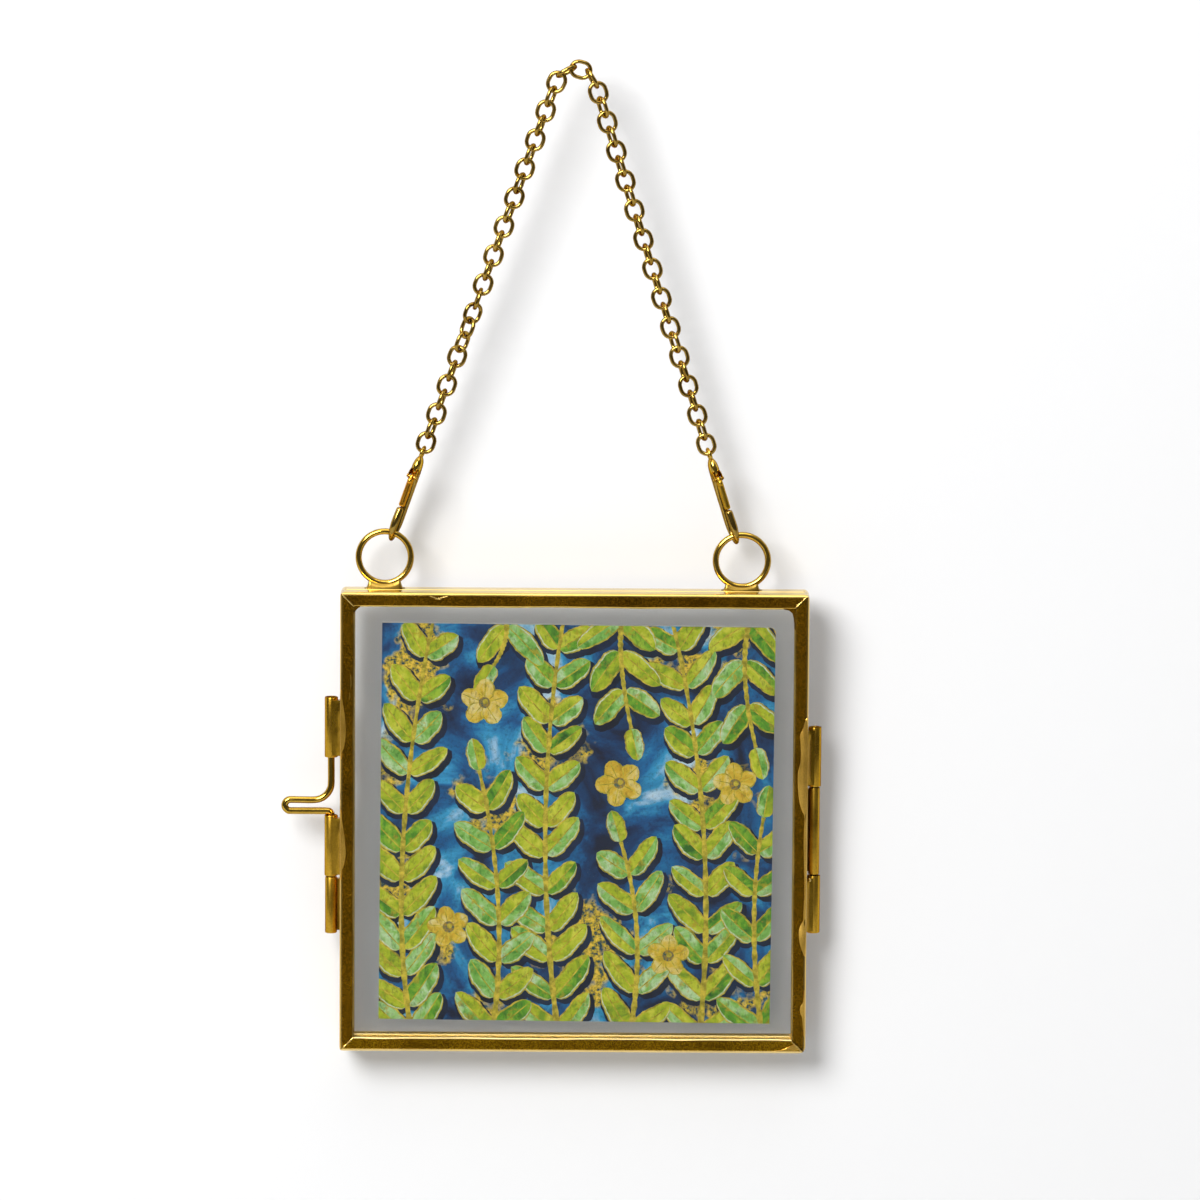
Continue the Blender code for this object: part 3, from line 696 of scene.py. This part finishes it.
def latch_pin_points():
    """Gives the bent pin's middle line, from its top through its handle to its lower end."""
    quarter = math.pi / 2
    x = LATCH_X
    upper = HANDLE_UPPER + UPPER_BEND
    points = [(x, 22.0), (x, 18.0), (x, 13.0), (x, upper)]
    points += arc(x - UPPER_BEND, upper, UPPER_BEND, (-0.4, -0.8, -1.2))
    points += [(x - UPPER_BEND, HANDLE_UPPER), (-61.0, HANDLE_UPPER), (HANDLE_END_X, HANDLE_UPPER + 0.02)]
    middle = HANDLE_LOWER + HANDLE_END_RADIUS
    turned = [quarter + a for a in (0.5, 1.05, 1.57, 2.1, 2.65)]
    points += arc(HANDLE_END_X + 0.02, middle, HANDLE_END_RADIUS, turned)
    points += [(HANDLE_END_X, HANDLE_LOWER), (-60.0, HANDLE_LOWER), (x - 1.6, HANDLE_LOWER)]
    points += [(x - LOWER_BEND, HANDLE_LOWER - 0.04)]
    points += arc(x - LOWER_BEND, HANDLE_LOWER - LOWER_BEND, LOWER_BEND, (quarter - 0.5, quarter - 1.05))
    points += [(x, 1.0), (x, -3.0), (x, -12.3)]
    return points


def latch():
    """Makes the three tubes and the bent pin with its handle."""
    for row in LATCH_TUBES:
        tube(LATCH_X, LATCH_BORE, *row)
    rows = [(x, 0, z, LATCH_WIRE) for x, z in latch_pin_points()]
    shape = laid_wire(rows, PARTING_Y, 20, steps=5)
    mesh_piece("latch_pin_finish", shape, POLISHED, "latch", ["latch_pin"], sharp=60)


def face_solder(outlines, height):
    """Makes solder that has spread over the front face."""
    for name, points in outlines.items():
        shape = plate(smooth_outline(points), 0.04, height, 0.8)
        mesh_piece(name, shape, TAB, "front_half", sharp=25)


def scratches():
    """Makes the small bright scratches on the front face, as low ridges."""
    for name, (points, radius) in SCRATCHES.items():
        rows = [(x, 0, z, radius) for x, z in points]
        shape = laid_wire(rows, FRONT_FACE_Y + 0.01, 10, 0.7)
        mesh_piece(name, shape, SOLDER, "front_half", sharp=60)


def glass_panes():
    """Makes each pane with its edges ground off a little."""
    inner_y, inner_half = PANE_HALF_DEPTH - PANE_BEVEL, PANE_HALF - PANE_BEVEL
    levels = [(-PANE_HALF_DEPTH, inner_half), (-inner_y, PANE_HALF)]
    levels += [(inner_y, PANE_HALF), (PANE_HALF_DEPTH, inner_half)]
    for side, middle_y in PANE_MIDDLE_Y.items():
        verts = []
        for y, half in levels:
            for x, z in ((-1, -1), (1, -1), (1, 1), (-1, 1)):
                verts.append(FRAME_CENTRE + Vector((x * half, middle_y + y, z * half)))
        name = f"{side}_glass"
        shape = verts, bands(len(levels), 4)
        mesh_piece(f"{name}_finish", shape, GLASS, f"{side}_half", [name], 20)


def ring_centre(side):
    return FRAME_CENTRE + RING_PLACE[side]


def leg_direction(side):
    """Gives the way that a chain leg leaves its ring."""
    outward = SIGN[side]
    to_arc = Vector((0, 0, -ARC_DROP)) - ring_centre(side)
    lean = math.atan2(-outward * to_arc.x, to_arc.z) - math.asin(CHAIN_ARC_RADIUS / to_arc.length)
    return Vector((-outward * math.sin(lean), 0, math.cos(lean)))


def saddle(side):
    """Gives the solder that a ring stands in: a thin skirt on the frame that rises to the wire."""
    centre = ring_centre(side)
    floor = HALF_SIDE - RING_PLACE[side].z + 0.02
    columns, rows = 49, 15
    verts = []
    for i in range(columns):
        x = SADDLE_REACH * (2 * i / (columns - 1) - 1)
        away = abs(x) / SADDLE_REACH
        skirt = floor + 0.55 * max(0.0, 1 - away**3)
        peak = min(0.15 - math.sqrt(RING_RADIUS**2 - x**2), floor + 2.3)
        blend = min(max((SADDLE_SHOULDER - abs(x)) / 0.75, 0), 1)
        blend = blend * blend * (3 - 2 * blend)
        top = skirt * (1 - blend) + peak * blend
        depth = (1.15 if top - floor < 0.7 else 1.25) * (1 - 0.35 * away**2)
        for k in range(rows):
            angle = math.pi * k / (rows - 1)
            rise = math.sin(angle)
            side_in = depth * (1 - 0.5 * rise**2) * abs(math.cos(angle)) ** 0.6
            y = -math.copysign(side_in, math.cos(angle))
            verts.append(centre + Vector((x, y, floor + (top - floor) * rise**0.8)))
    return verts, bands(columns, rows)


def hanging_ring(side):
    """Makes a ring and the solder saddle that it stands in."""
    shape = ring_of_wire(ring_centre(side), RING_RADIUS, RING_WIRE, 72, 18)
    mesh_piece(f"ring_{side}_wire", shape, POLISHED, "back_half", [f"ring_{side}"], sharp=60)
    mesh_piece(f"ring_{side}_solder", saddle(side), FOOT, "back_half", [f"ring_{side}"], sharp=50)


def leg_end(side):
    return ring_centre(side) + leg_direction(side) * (RING_RADIUS + CLASP_LENGTH)


def chain_route():
    """Gives the chain's length and a function for the point that lies a given way along it."""
    middle = Vector((0, 0, -ARC_DROP))
    start, start_way = leg_end("left"), leg_direction("left")
    end, end_way = leg_end("right"), leg_direction("right")
    first_run = (middle - start).dot(start_way)
    last_run = (middle - end).dot(end_way)
    start_normal = (start + start_way * first_run - middle).normalized()
    end_normal = (end + end_way * last_run - middle).normalized()
    start_angle = math.atan2(start_normal.z, start_normal.x)
    end_angle = math.atan2(end_normal.z, end_normal.x)
    bend_run = CHAIN_ARC_RADIUS * (start_angle - end_angle)
    length = first_run + bend_run + last_run

    def point(distance):
        if distance < first_run:
            return start + start_way * distance
        if distance < first_run + bend_run:
            angle = start_angle - (distance - first_run) / CHAIN_ARC_RADIUS
            return middle + CHAIN_ARC_RADIUS * Vector((math.cos(angle), 0, math.sin(angle)))
        return end + end_way * (length - distance)

    return length, point


def joint_points():
    """Gives the points where the links meet, at equal straight distances along the route."""
    length, point = chain_route()
    low, high = 0.5 * length / LINK_COUNT, length / LINK_COUNT
    for _ in range(40):
        pitch = (low + high) / 2
        travelled = [0.0]
        for _ in range(LINK_COUNT):
            here = point(travelled[-1])
            near, far = travelled[-1], travelled[-1] + 1.5 * pitch
            for _ in range(30):
                middle = (near + far) / 2
                if (point(middle) - here).length < pitch:
                    near = middle
                else:
                    far = middle
            travelled.append(near)
        if travelled[-1] < length:
            low = pitch
        else:
            high = pitch
    return [point(distance) for distance in travelled]


def link_shape():
    """Gives one oval link, flat on its side and long in Y."""
    loop = []
    for end, start_angle in ((1, 0), (-1, math.pi)):
        for step in range(13):
            angle = math.pi * step / 12 + start_angle
            y = LINK_HALF_WIDTH * math.sin(angle) + end * (LINK_HALF_LENGTH - LINK_HALF_WIDTH)
            loop.append(Vector((LINK_HALF_WIDTH * math.cos(angle), y, 0)))
    return swept(loop, [LINK_WIRE] * len(loop), planar_frames(loop, UP, True), 14, closed=True)


def chain():
    """Makes each link by itself, a little loose in its neighbours."""
    shape = link_shape()
    joints = joint_points()
    sway = random.Random(7)
    for index, (start, end) in enumerate(zip(joints, joints[1:])):
        along = (end - start).normalized()
        across = BACK.cross(along)
        twist = min(max((index - TWIST_FROM_LINK) / TWIST_LINKS, 0), 1)
        turn = math.radians(90) * (index % 2 + twist)
        turn += LINK_OPENING * abs(math.sin(turn)) + math.radians(sway.uniform(-7, 7))
        lean = Matrix.Rotation(math.radians(sway.uniform(-2.5, 2.5)), 4, "Z")
        normal = BACK * math.cos(turn) + across * math.sin(turn)
        place = Matrix((along.cross(normal), along, normal)).transposed().to_4x4()
        place.translation = (start + end) / 2
        pair = index - index % 2 + 1
        nodes = [f"chain_links_{pair:02d}_{pair + 1:02d}"]
        link = moved(shape, place @ lean)
        mesh_piece(f"chain_link_{index + 1:02d}", link, CHAIN, "hanger", nodes, sharp=60)


def clasp_matrix(side):
    """Gives the clasp's own axes: X to the back, Z up its leg, from the wire of its ring."""
    up = leg_direction(side)
    outward = Vector((SIGN[side], 0, 0))
    outward = (outward - up * outward.dot(up)).normalized()
    back = BACK * math.cos(CLASP_TURN) - outward * math.sin(CLASP_TURN)
    matrix = Matrix((back, up.cross(back), up)).transposed().to_4x4()
    matrix.translation = ring_centre(side) + up * RING_RADIUS
    return matrix


def clasp_wire(path):
    points, radii = smooth_path([(sideways, 0, up, radius) for sideways, up, radius in path])
    return swept(points, radii, planar_frames(points, BACK), 20)


def clasp_head():
    """Gives the claw's head, with the two cheeks and the rivet that hold the lever."""
    head = ball((-0.1, 0, 15.9), (1.9, 1.15, 2.7))
    sideways, up = LEVER_PIVOT
    ends = [Vector((sideways, y, up)) for y in (-1.1, 1.1)]
    rivet = swept(ends, (0.3, 0.3), planar_frames(ends, UP), 16)
    cheeks = [ball((-1.75, y, 14.35), (1.35, 0.2, 1.2)) for y in (-0.88, 0.88)]
    rivet_heads = [ball(end, (0.4, 0.14, 0.4), 16, 8) for end in ends]
    return joined(head, rivet, *cheeks, *rivet_heads)


def clasp(side):
    """Makes a lobster clasp: claw with head and eye, and its lever."""
    place = clasp_matrix(side)
    eye = ring_of_wire(UP * EYE_HEIGHT, EYE_RADIUS, EYE_WIRE, 36, 12)
    parts = [("claw", clasp_wire(CLAW_PATH), CHAIN), ("head", clasp_head(), POLISHED), ("eye", eye, POLISHED)]
    for part, shape, finish in parts:
        mesh_piece(f"clasp_{side}_{part}", moved(shape, place), finish, "hanger", [f"clasp_{side}"], sharp=60)
    lever = joined(clasp_wire(LEVER_PATH), ball((-3.0, 0, 12.9), (0.6, 0.6, 0.8), 16, 10))
    # The left lever takes the copy with painted light, the right one the plain tube brass.
    finish = AMBER_LIT if side == "left" else TUBE
    node = f"clasp_lever_{side}"
    mesh_piece(f"{node}_finish", moved(lever, place), finish, f"{side}_lever", [node], sharp=60)


def card_point(u, v, y):
    """Gives the place of a point on the card, from right of and above its middle, at a depth y."""
    cos, sin = math.cos(CARD_TURN), math.sin(CARD_TURN)
    return CARD_CENTRE + Vector((u * cos + v * sin, y, v * cos - u * sin))


def card_ground():
    """Mottled blue washes with pale clouds and amber patches that carry dark speckle."""
    s = Shader("card_ground")
    wash = s.noise(60, 5, 0.55, distortion=0.8)
    colour = s.ramp(
        wash, (0.34, (0.001, 0.010, 0.040)), (0.44, (0.002, 0.05, 0.17)), (0.52, (0.004, 0.15, 0.40)),
        (0.59, (0.04, 0.38, 0.68)), (0.68, (0.62, 0.80, 0.92)),
    )
    patch = s.noise(42, 4, 0.65, s.coords(shift=(0.05, 0, 0.02)))
    speckle = s.noise(1100, 3, 0.7)
    ochre = (0.40, (0.01, 0.06, 0.08)), (0.47, (0.50, 0.36, 0.02)), (0.60, (0.95, 0.66, 0.06))
    colour = s.mix(s.span(patch, 0.54, 0.58), colour, s.ramp(speckle, *ochre))
    grain = s.noise(1500, 3, 0.7)
    colour = s.mix(s.span(grain, 0.35, 0.5, 0.35, 0.0), colour, (0.001, 0.008, 0.03))
    return s.set(Base_Color=colour, Roughness=0.6)


def leaf_paint(name, low, middle, high, shift):
    """Pencil and wash, mottled across the leaf or petal, with patches of ochre."""
    s = Shader(name)
    wash = s.noise(230, 5, 0.6, s.coords(shift=(shift, 0, shift)), distortion=1.0)
    colour = s.ramp(wash, (0.32, low), (0.48, middle), (0.66, high))
    ochre = s.noise(420, 4, 0.65, s.coords(shift=(shift, 0, 2 * shift + 0.2)))
    colour = s.mix(s.span(ochre, 0.56, 0.66, 0.0, 0.75), colour, (0.52, 0.36, 0.012))
    shade = s.noise(1400, 3, 0.65, s.coords(scale=(1, 1, 0.5)))
    colour = s.mix(s.span(shade, 0.52, 0.7, 0.0, 0.6), colour, scaled(low, 0.45))
    return s.set(Base_Color=colour, Roughness=0.6)


def flat_paint(name, colour, other, scale=700):
    """One colour that drifts into another, without a wash."""
    s = Shader(name)
    return s.set(Base_Color=s.ramp(s.noise(scale, 3, 0.6), (0.35, colour), (0.65, other)), Roughness=0.6)


def print_paints():
    """Gives the paints in the order of their numbers, from LIME to DEEP."""
    return [
        leaf_paint("leaf_lime", (0.19, 0.34, 0.004), (0.48, 0.57, 0.008), (0.74, 0.73, 0.06), 0.0),
        leaf_paint("leaf_mint", (0.08, 0.31, 0.02), (0.28, 0.60, 0.11), (0.60, 0.78, 0.44), 0.4),
        leaf_paint("leaf_moss", (0.03, 0.15, 0.005), (0.12, 0.38, 0.010), (0.40, 0.60, 0.03), 0.9),
        flat_paint("leaf_line", (0.30, 0.24, 0.006), (0.80, 0.62, 0.05)),
        flat_paint("leaf_rim", (0.42, 0.52, 0.19), (0.78, 0.80, 0.60), 1200),
        leaf_paint("petal_amber", (0.62, 0.33, 0.008), (0.80, 0.56, 0.04), (0.84, 0.73, 0.31), 1.3),
        flat_paint("flower_heart", (0.02, 0.10, 0.09), (0.50, 0.28, 0.01), 1500),
        flat_paint("leaf_shadow", (0.0006, 0.004, 0.018), (0.001, 0.016, 0.06), 200),
    ]


class Print:
    """Collects flat painted shapes on the card, each a hair above the last layer."""

    def __init__(self):
        self.verts, self.faces, self.paints = [], [], []

    def spot(self, u, v, layer):
        """Adds a point, kept within the card's edges and its rounded corner."""
        u = max(PRINT_INSET - CARD_HALF[0], min(CARD_HALF[0] - PRINT_INSET, u))
        v = max(PRINT_INSET - CARD_HALF[1], min(CARD_HALF[1] - PRINT_INSET, v))
        right, above = u - CARD_ROUND_CENTRE[0], v - CARD_ROUND_CENTRE[1]
        if right > 0 and above > 0:
            away = max(1.0, math.hypot(right, above) / (CARD_ROUND - 2 * PRINT_INSET))
            u, v = CARD_ROUND_CENTRE[0] + right / away, CARD_ROUND_CENTRE[1] + above / away
        self.verts.append(card_point(u, v, CARD_FRONT_Y - PRINT_BASE - PRINT_LAYER * layer))
        return len(self.verts) - 1

    def face(self, paint, *corners):
        self.faces.append(corners)
        self.paints.append(paint)

    def blade(self, place, angle, length, width, paints, layer, curl=0.0, rim_side=1, seed=0.0):
        """Draws one blunt leaf or petal from strips: line, fill, rib, fill, pale rim, line."""
        shares = [-1, -0.84, -0.06, 0.05, 0.76, 0.88, 1]
        steps = 16
        cos, sin = math.cos(angle), math.sin(angle)
        grid = []
        for i in range(steps + 1):
            t = i / steps
            ahead = length * t
            half = width / 2 * (1 - abs(2 * t**0.85 - 1) ** 2.6) ** 0.62
            wobble = 1 + 0.05 * math.sin(t * 13 + seed) + 0.03 * math.sin(t * 37 + 2 * seed)
            row = []
            for share in shares:
                out = half * share * rim_side * (wobble if abs(share) > 0.5 else 1) + curl * ahead * t
                u = place[0] + ahead * cos - out * sin
                row.append(self.spot(u, place[1] + ahead * sin + out * cos, layer))
            grid.append(row)
        for near, far in zip(grid, grid[1:]):
            for k, paint in enumerate(paints):
                self.face(paint, near[k], near[k + 1], far[k + 1], far[k])

    def ribbon(self, points, start, end, layer, paint):
        """Draws a stem that narrows along its way."""
        rows = []
        for i, (u, v) in enumerate(points):
            a, b = points[max(i - 1, 0)], points[min(i + 1, len(points) - 1)]
            run = math.hypot(b[0] - a[0], b[1] - a[1]) or 1
            half = (start + (end - start) * i / (len(points) - 1)) / 2 * (1 + 0.2 * math.sin(i * 1.7))
            out_u, out_v = -(b[1] - a[1]) / run * half, (b[0] - a[0]) / run * half
            rows.append((self.spot(u + out_u, v + out_v, layer), self.spot(u - out_u, v - out_v, layer)))
        for (a, b), (c, d) in zip(rows, rows[1:]):
            self.face(paint, a, b, d, c)

    def dot(self, u, v, radius, layer, paint):
        points = arc(u, v, radius, [math.tau * k / 14 for k in range(14)])
        self.face(paint, *[self.spot(*point, layer) for point in points])

    def sprig(self, start, bend, end, pairs, group, draw):
        """Draws a stem with pairs of leaves, each leaf over its own shadow, and a leaf at its tip."""
        steps = 60
        stem = []
        for i in range(steps + 1):
            t = i / steps
            weights = ((1 - t) ** 2, 2 * t * (1 - t), t * t)
            stem.append(tuple(sum(w * p[k] for w, p in zip(weights, (start, bend, end))) for k in (0, 1)))
        for pair in range(pairs):
            where = int(1 + (steps - 4) * (pair + 0.4) / pairs)
            place, ahead = stem[where], stem[where + 1]
            heading = math.atan2(ahead[1] - place[1], ahead[0] - place[0])
            for side in (-1, 1):
                angle = heading + side * math.radians(draw.uniform(42, 56))
                length = draw.uniform(10.2, 12.8) * (1 - 0.2 * pair / pairs)
                width = draw.uniform(4.4, 5.4)
                seed = draw.uniform(0, 6)
                curl = -side * draw.uniform(0.02, 0.12)
                fill = draw.choice((LIME, LIME, LIME, MINT, MINT, MOSS))
                other = draw.choice((LIME, LIME, MINT, MINT, MOSS))
                layer = 4 * group + 2 * (pair % 2) + (1 if side > 0 else 0)
                low = (place[0] + 0.5, place[1] - 0.9)
                self.blade(low, angle, length + 0.6, width + 1.1, [DEEP] * 6, layer, curl, side, seed)
                paints = [LINE, fill, LINE, other, RIM, LINE]
                self.blade(place, angle, length, width, paints, LEAF_LAYER + layer, curl, side, seed)
        tip, before = stem[-1], stem[-3]
        heading = math.atan2(tip[1] - before[1], tip[0] - before[0])
        self.blade(tip, heading, 7.5, 4.2, [LINE, LIME, LINE, MINT, RIM, LINE], LEAF_LAYER + 4 * group)
        self.ribbon(stem, 1.3, 0.8, STEM_LAYER + group, LINE)

    def flower(self, u, v, size, turn):
        """Draws five petals round a heart."""
        paints = [LINE, PETAL, LINE, PETAL, PETAL, LINE]
        for k in range(5):
            angle = turn + math.tau * k / 5
            place = (u + 0.7 * math.cos(angle), v + 0.7 * math.sin(angle))
            self.blade(place, angle, size, size * 0.9, paints, PETAL_LAYER + k, seed=k)
        self.dot(u, v, 1.3, HEART_LAYER, HEART)
        self.dot(u + 0.2, v + 0.2, 0.6, DOT_LAYER, LINE)


def card_pattern():
    """Draws upright leafy sprigs with a few small flowers: a general pattern."""
    sprigs = [
        ((-36, -52), (-44, -12), (-32, 50), 12, 0),
        ((-19, -52), (-14, -22), (-22, 12), 7, 1),
        ((-3, -52), (-11, 0), (-3, 50), 12, 0),
        ((12, -52), (17, -26), (10, -4), 5, 1),
        ((28, -52), (33, 0), (20, 50), 12, 0),
        ((43, -52), (38, -22), (42, 2), 5, 1),
        ((-18, 50), (-14, 44), (-19, 36), 1, 2),
        ((10, 50), (8, 40), (12, 22), 3, 2),
        ((39, 50), (35, 38), (40, 18), 3, 2),
    ]
    flowers = [(-21, 27.5, 4.8), (9.5, 9.5, 4.8), (35.5, 9.5, 4.4), (-28.5, -24, 4.2), (21, -30, 4.2)]
    draw = random.Random(21)
    art = Print()
    for sprig in sprigs:
        art.sprig(*sprig, draw)
    for flower in flowers:
        art.flower(*flower, draw.uniform(0, 1))
    mesh = bpy.data.meshes.new("card_pattern")
    mesh.from_pydata([tuple(v * MM) for v in art.verts], [], art.faces)
    for each in print_paints():
        mesh.materials.append(each)
    for polygon, paint in zip(mesh.polygons, art.paints):
        polygon.material_index = paint
    pattern = placed("card_pattern", mesh)
    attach(pattern, "back_half")
    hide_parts("botanical_card")


def card():
    """Makes the card with its upper right corner rounded, and the print on its front."""
    right, top = CARD_HALF
    outline = [(-right, -top), (right, -top), (right, CARD_ROUND_CENTRE[1])]
    outline += arc(*CARD_ROUND_CENTRE, CARD_ROUND, (0.4, 0.8, 1.2, 1.57))
    outline += [(-right, top)]
    verts = [card_point(u, v, y) for y in (CARD_FRONT_Y, CARD_BACK_Y) for u, v in outline]
    shape = verts, bands(2, len(outline))
    paper = flat_paint("card_paper", (0.72, 0.70, 0.60), (0.80, 0.78, 0.70), 300)
    materials = [card_ground(), paper]
    made = mesh_piece("card_sheet", shape, materials, "back_half", ["botanical_card"], 20)
    for polygon in made.data.polygons:
        polygon.material_index = 0 if polygon.normal.y < -0.5 else 1
    card_pattern()


def stage_plane(name, corners, material, place=(0, 0, 0), tilt=0.0):
    """Makes one flat sheet of the stage."""
    mesh = bpy.data.meshes.new(name)
    mesh.from_pydata(corners, [], [(0, 1, 2, 3)])
    mesh.materials.append(material)
    made = placed(name, mesh)
    made.location = place
    made.rotation_euler = (tilt, 0, 0)


def stage():
    """Puts a pale wall close behind the frame, seen only from the front, and a pale floor."""
    wall = Shader("wall_paint")
    wall.set(Base_Color=(0.58, 0.58, 0.585), Roughness=0.9, Emission_Color=(1.0, 1.0, 1.0))
    wall.set(Emission_Strength=WALL_GLOW)
    clear = wall.node("BsdfTransparent")
    choose = wall.node("MixShader")
    wall.put(choose.inputs[0], wall.node("NewGeometry").outputs["Backfacing"])
    wall.put(choose.inputs[1], wall.principled.outputs[0])
    wall.put(choose.inputs[2], clear.outputs[0])
    wall.put(wall.tree.nodes["Material Output"].inputs["Surface"], choose.outputs[0])
    reach, low = STAGE_REACH, FLOOR_Z
    corners = [(-reach, 0, low), (reach, 0, low), (reach, 0, reach), (-reach, 0, reach)]
    stage_plane("wall", corners, wall.material, (0, WALL_Y, 0), WALL_TILT)
    floor = Shader("floor_paint")
    floor.set(Base_Color=(0.5, 0.5, 0.49), Roughness=0.8)
    front, back = FLOOR_FRONT_Y, FLOOR_BACK_Y
    corners = [(-reach, front, low), (reach, front, low), (reach, back, low), (-reach, back, low)]
    stage_plane("floor", corners, floor.material)


def area_light(name, place, size, power):
    """Puts up a round soft light that faces the object."""
    light = bpy.data.lights.new(name, "AREA")
    light.shape = "DISK"
    light.size = size
    light.energy = power
    made = placed(name, light)
    made.location = place
    made.rotation_euler = (LIGHT_TARGET - Vector(place)).to_track_quat("-Z", "Y").to_euler()


def studio_world():
    """Bright overhead and dim low down, as in a room with one large window up and to the left."""
    world = bpy.data.worlds.new("studio")
    world.use_nodes = True
    tree = world.node_tree
    coords = tree.nodes.new("ShaderNodeTexCoord")
    split = tree.nodes.new("ShaderNodeSeparateXYZ")
    ramp = tree.nodes.new("ShaderNodeValToRGB")
    lift = tree.nodes.new("ShaderNodeMapRange")
    lift.inputs["From Min"].default_value = -1
    tree.links.new(coords.outputs["Generated"], split.inputs[0])
    tree.links.new(split.outputs["Z"], lift.inputs["Value"])
    tree.links.new(lift.outputs["Result"], ramp.inputs["Fac"])
    set_stops(ramp, [(place, (value, value, value)) for place, value in SKY])
    background = tree.nodes["Background"]
    background.inputs["Strength"].default_value = 1.0
    tree.links.new(ramp.outputs["Color"], background.inputs["Color"])
    bpy.context.scene.world = world


def camera():
    """Puts the camera far in front and a little above, as the photograph was taken."""
    data = bpy.data.cameras.new("camera")
    data.sensor_width = 36
    data.lens = CAMERA_LENS
    data.clip_start = 0.1
    data.clip_end = 30
    made = placed("camera", data)
    turn = Matrix.Rotation(CAMERA_PITCH, 4, "X") @ Matrix.Rotation(CAMERA_ROLL, 4, "Z")
    made.matrix_world = Matrix.Translation(CAMERA_PLACE) @ turn
    bpy.context.scene.camera = made


for half in ("front", "back"):
    for quarter_turns, side in enumerate(["bottom", "left", "top", "right"]):
        frame_bar(half, side, quarter_turns)
corner_solder()
glass_panes()
card()
hinge()
latch()
face_solder(TABS, TAB_HEIGHT)
scratches()
face_solder(SMEARS, SMEAR_HEIGHT)
for side in ("left", "right"):
    hanging_ring(side)
    clasp(side)
chain()

stage()
for name, (place, size, power) in LIGHTS.items():
    area_light(name, place, size, power)
studio_world()
camera()
bpy.context.scene.view_settings.view_transform = "Standard"
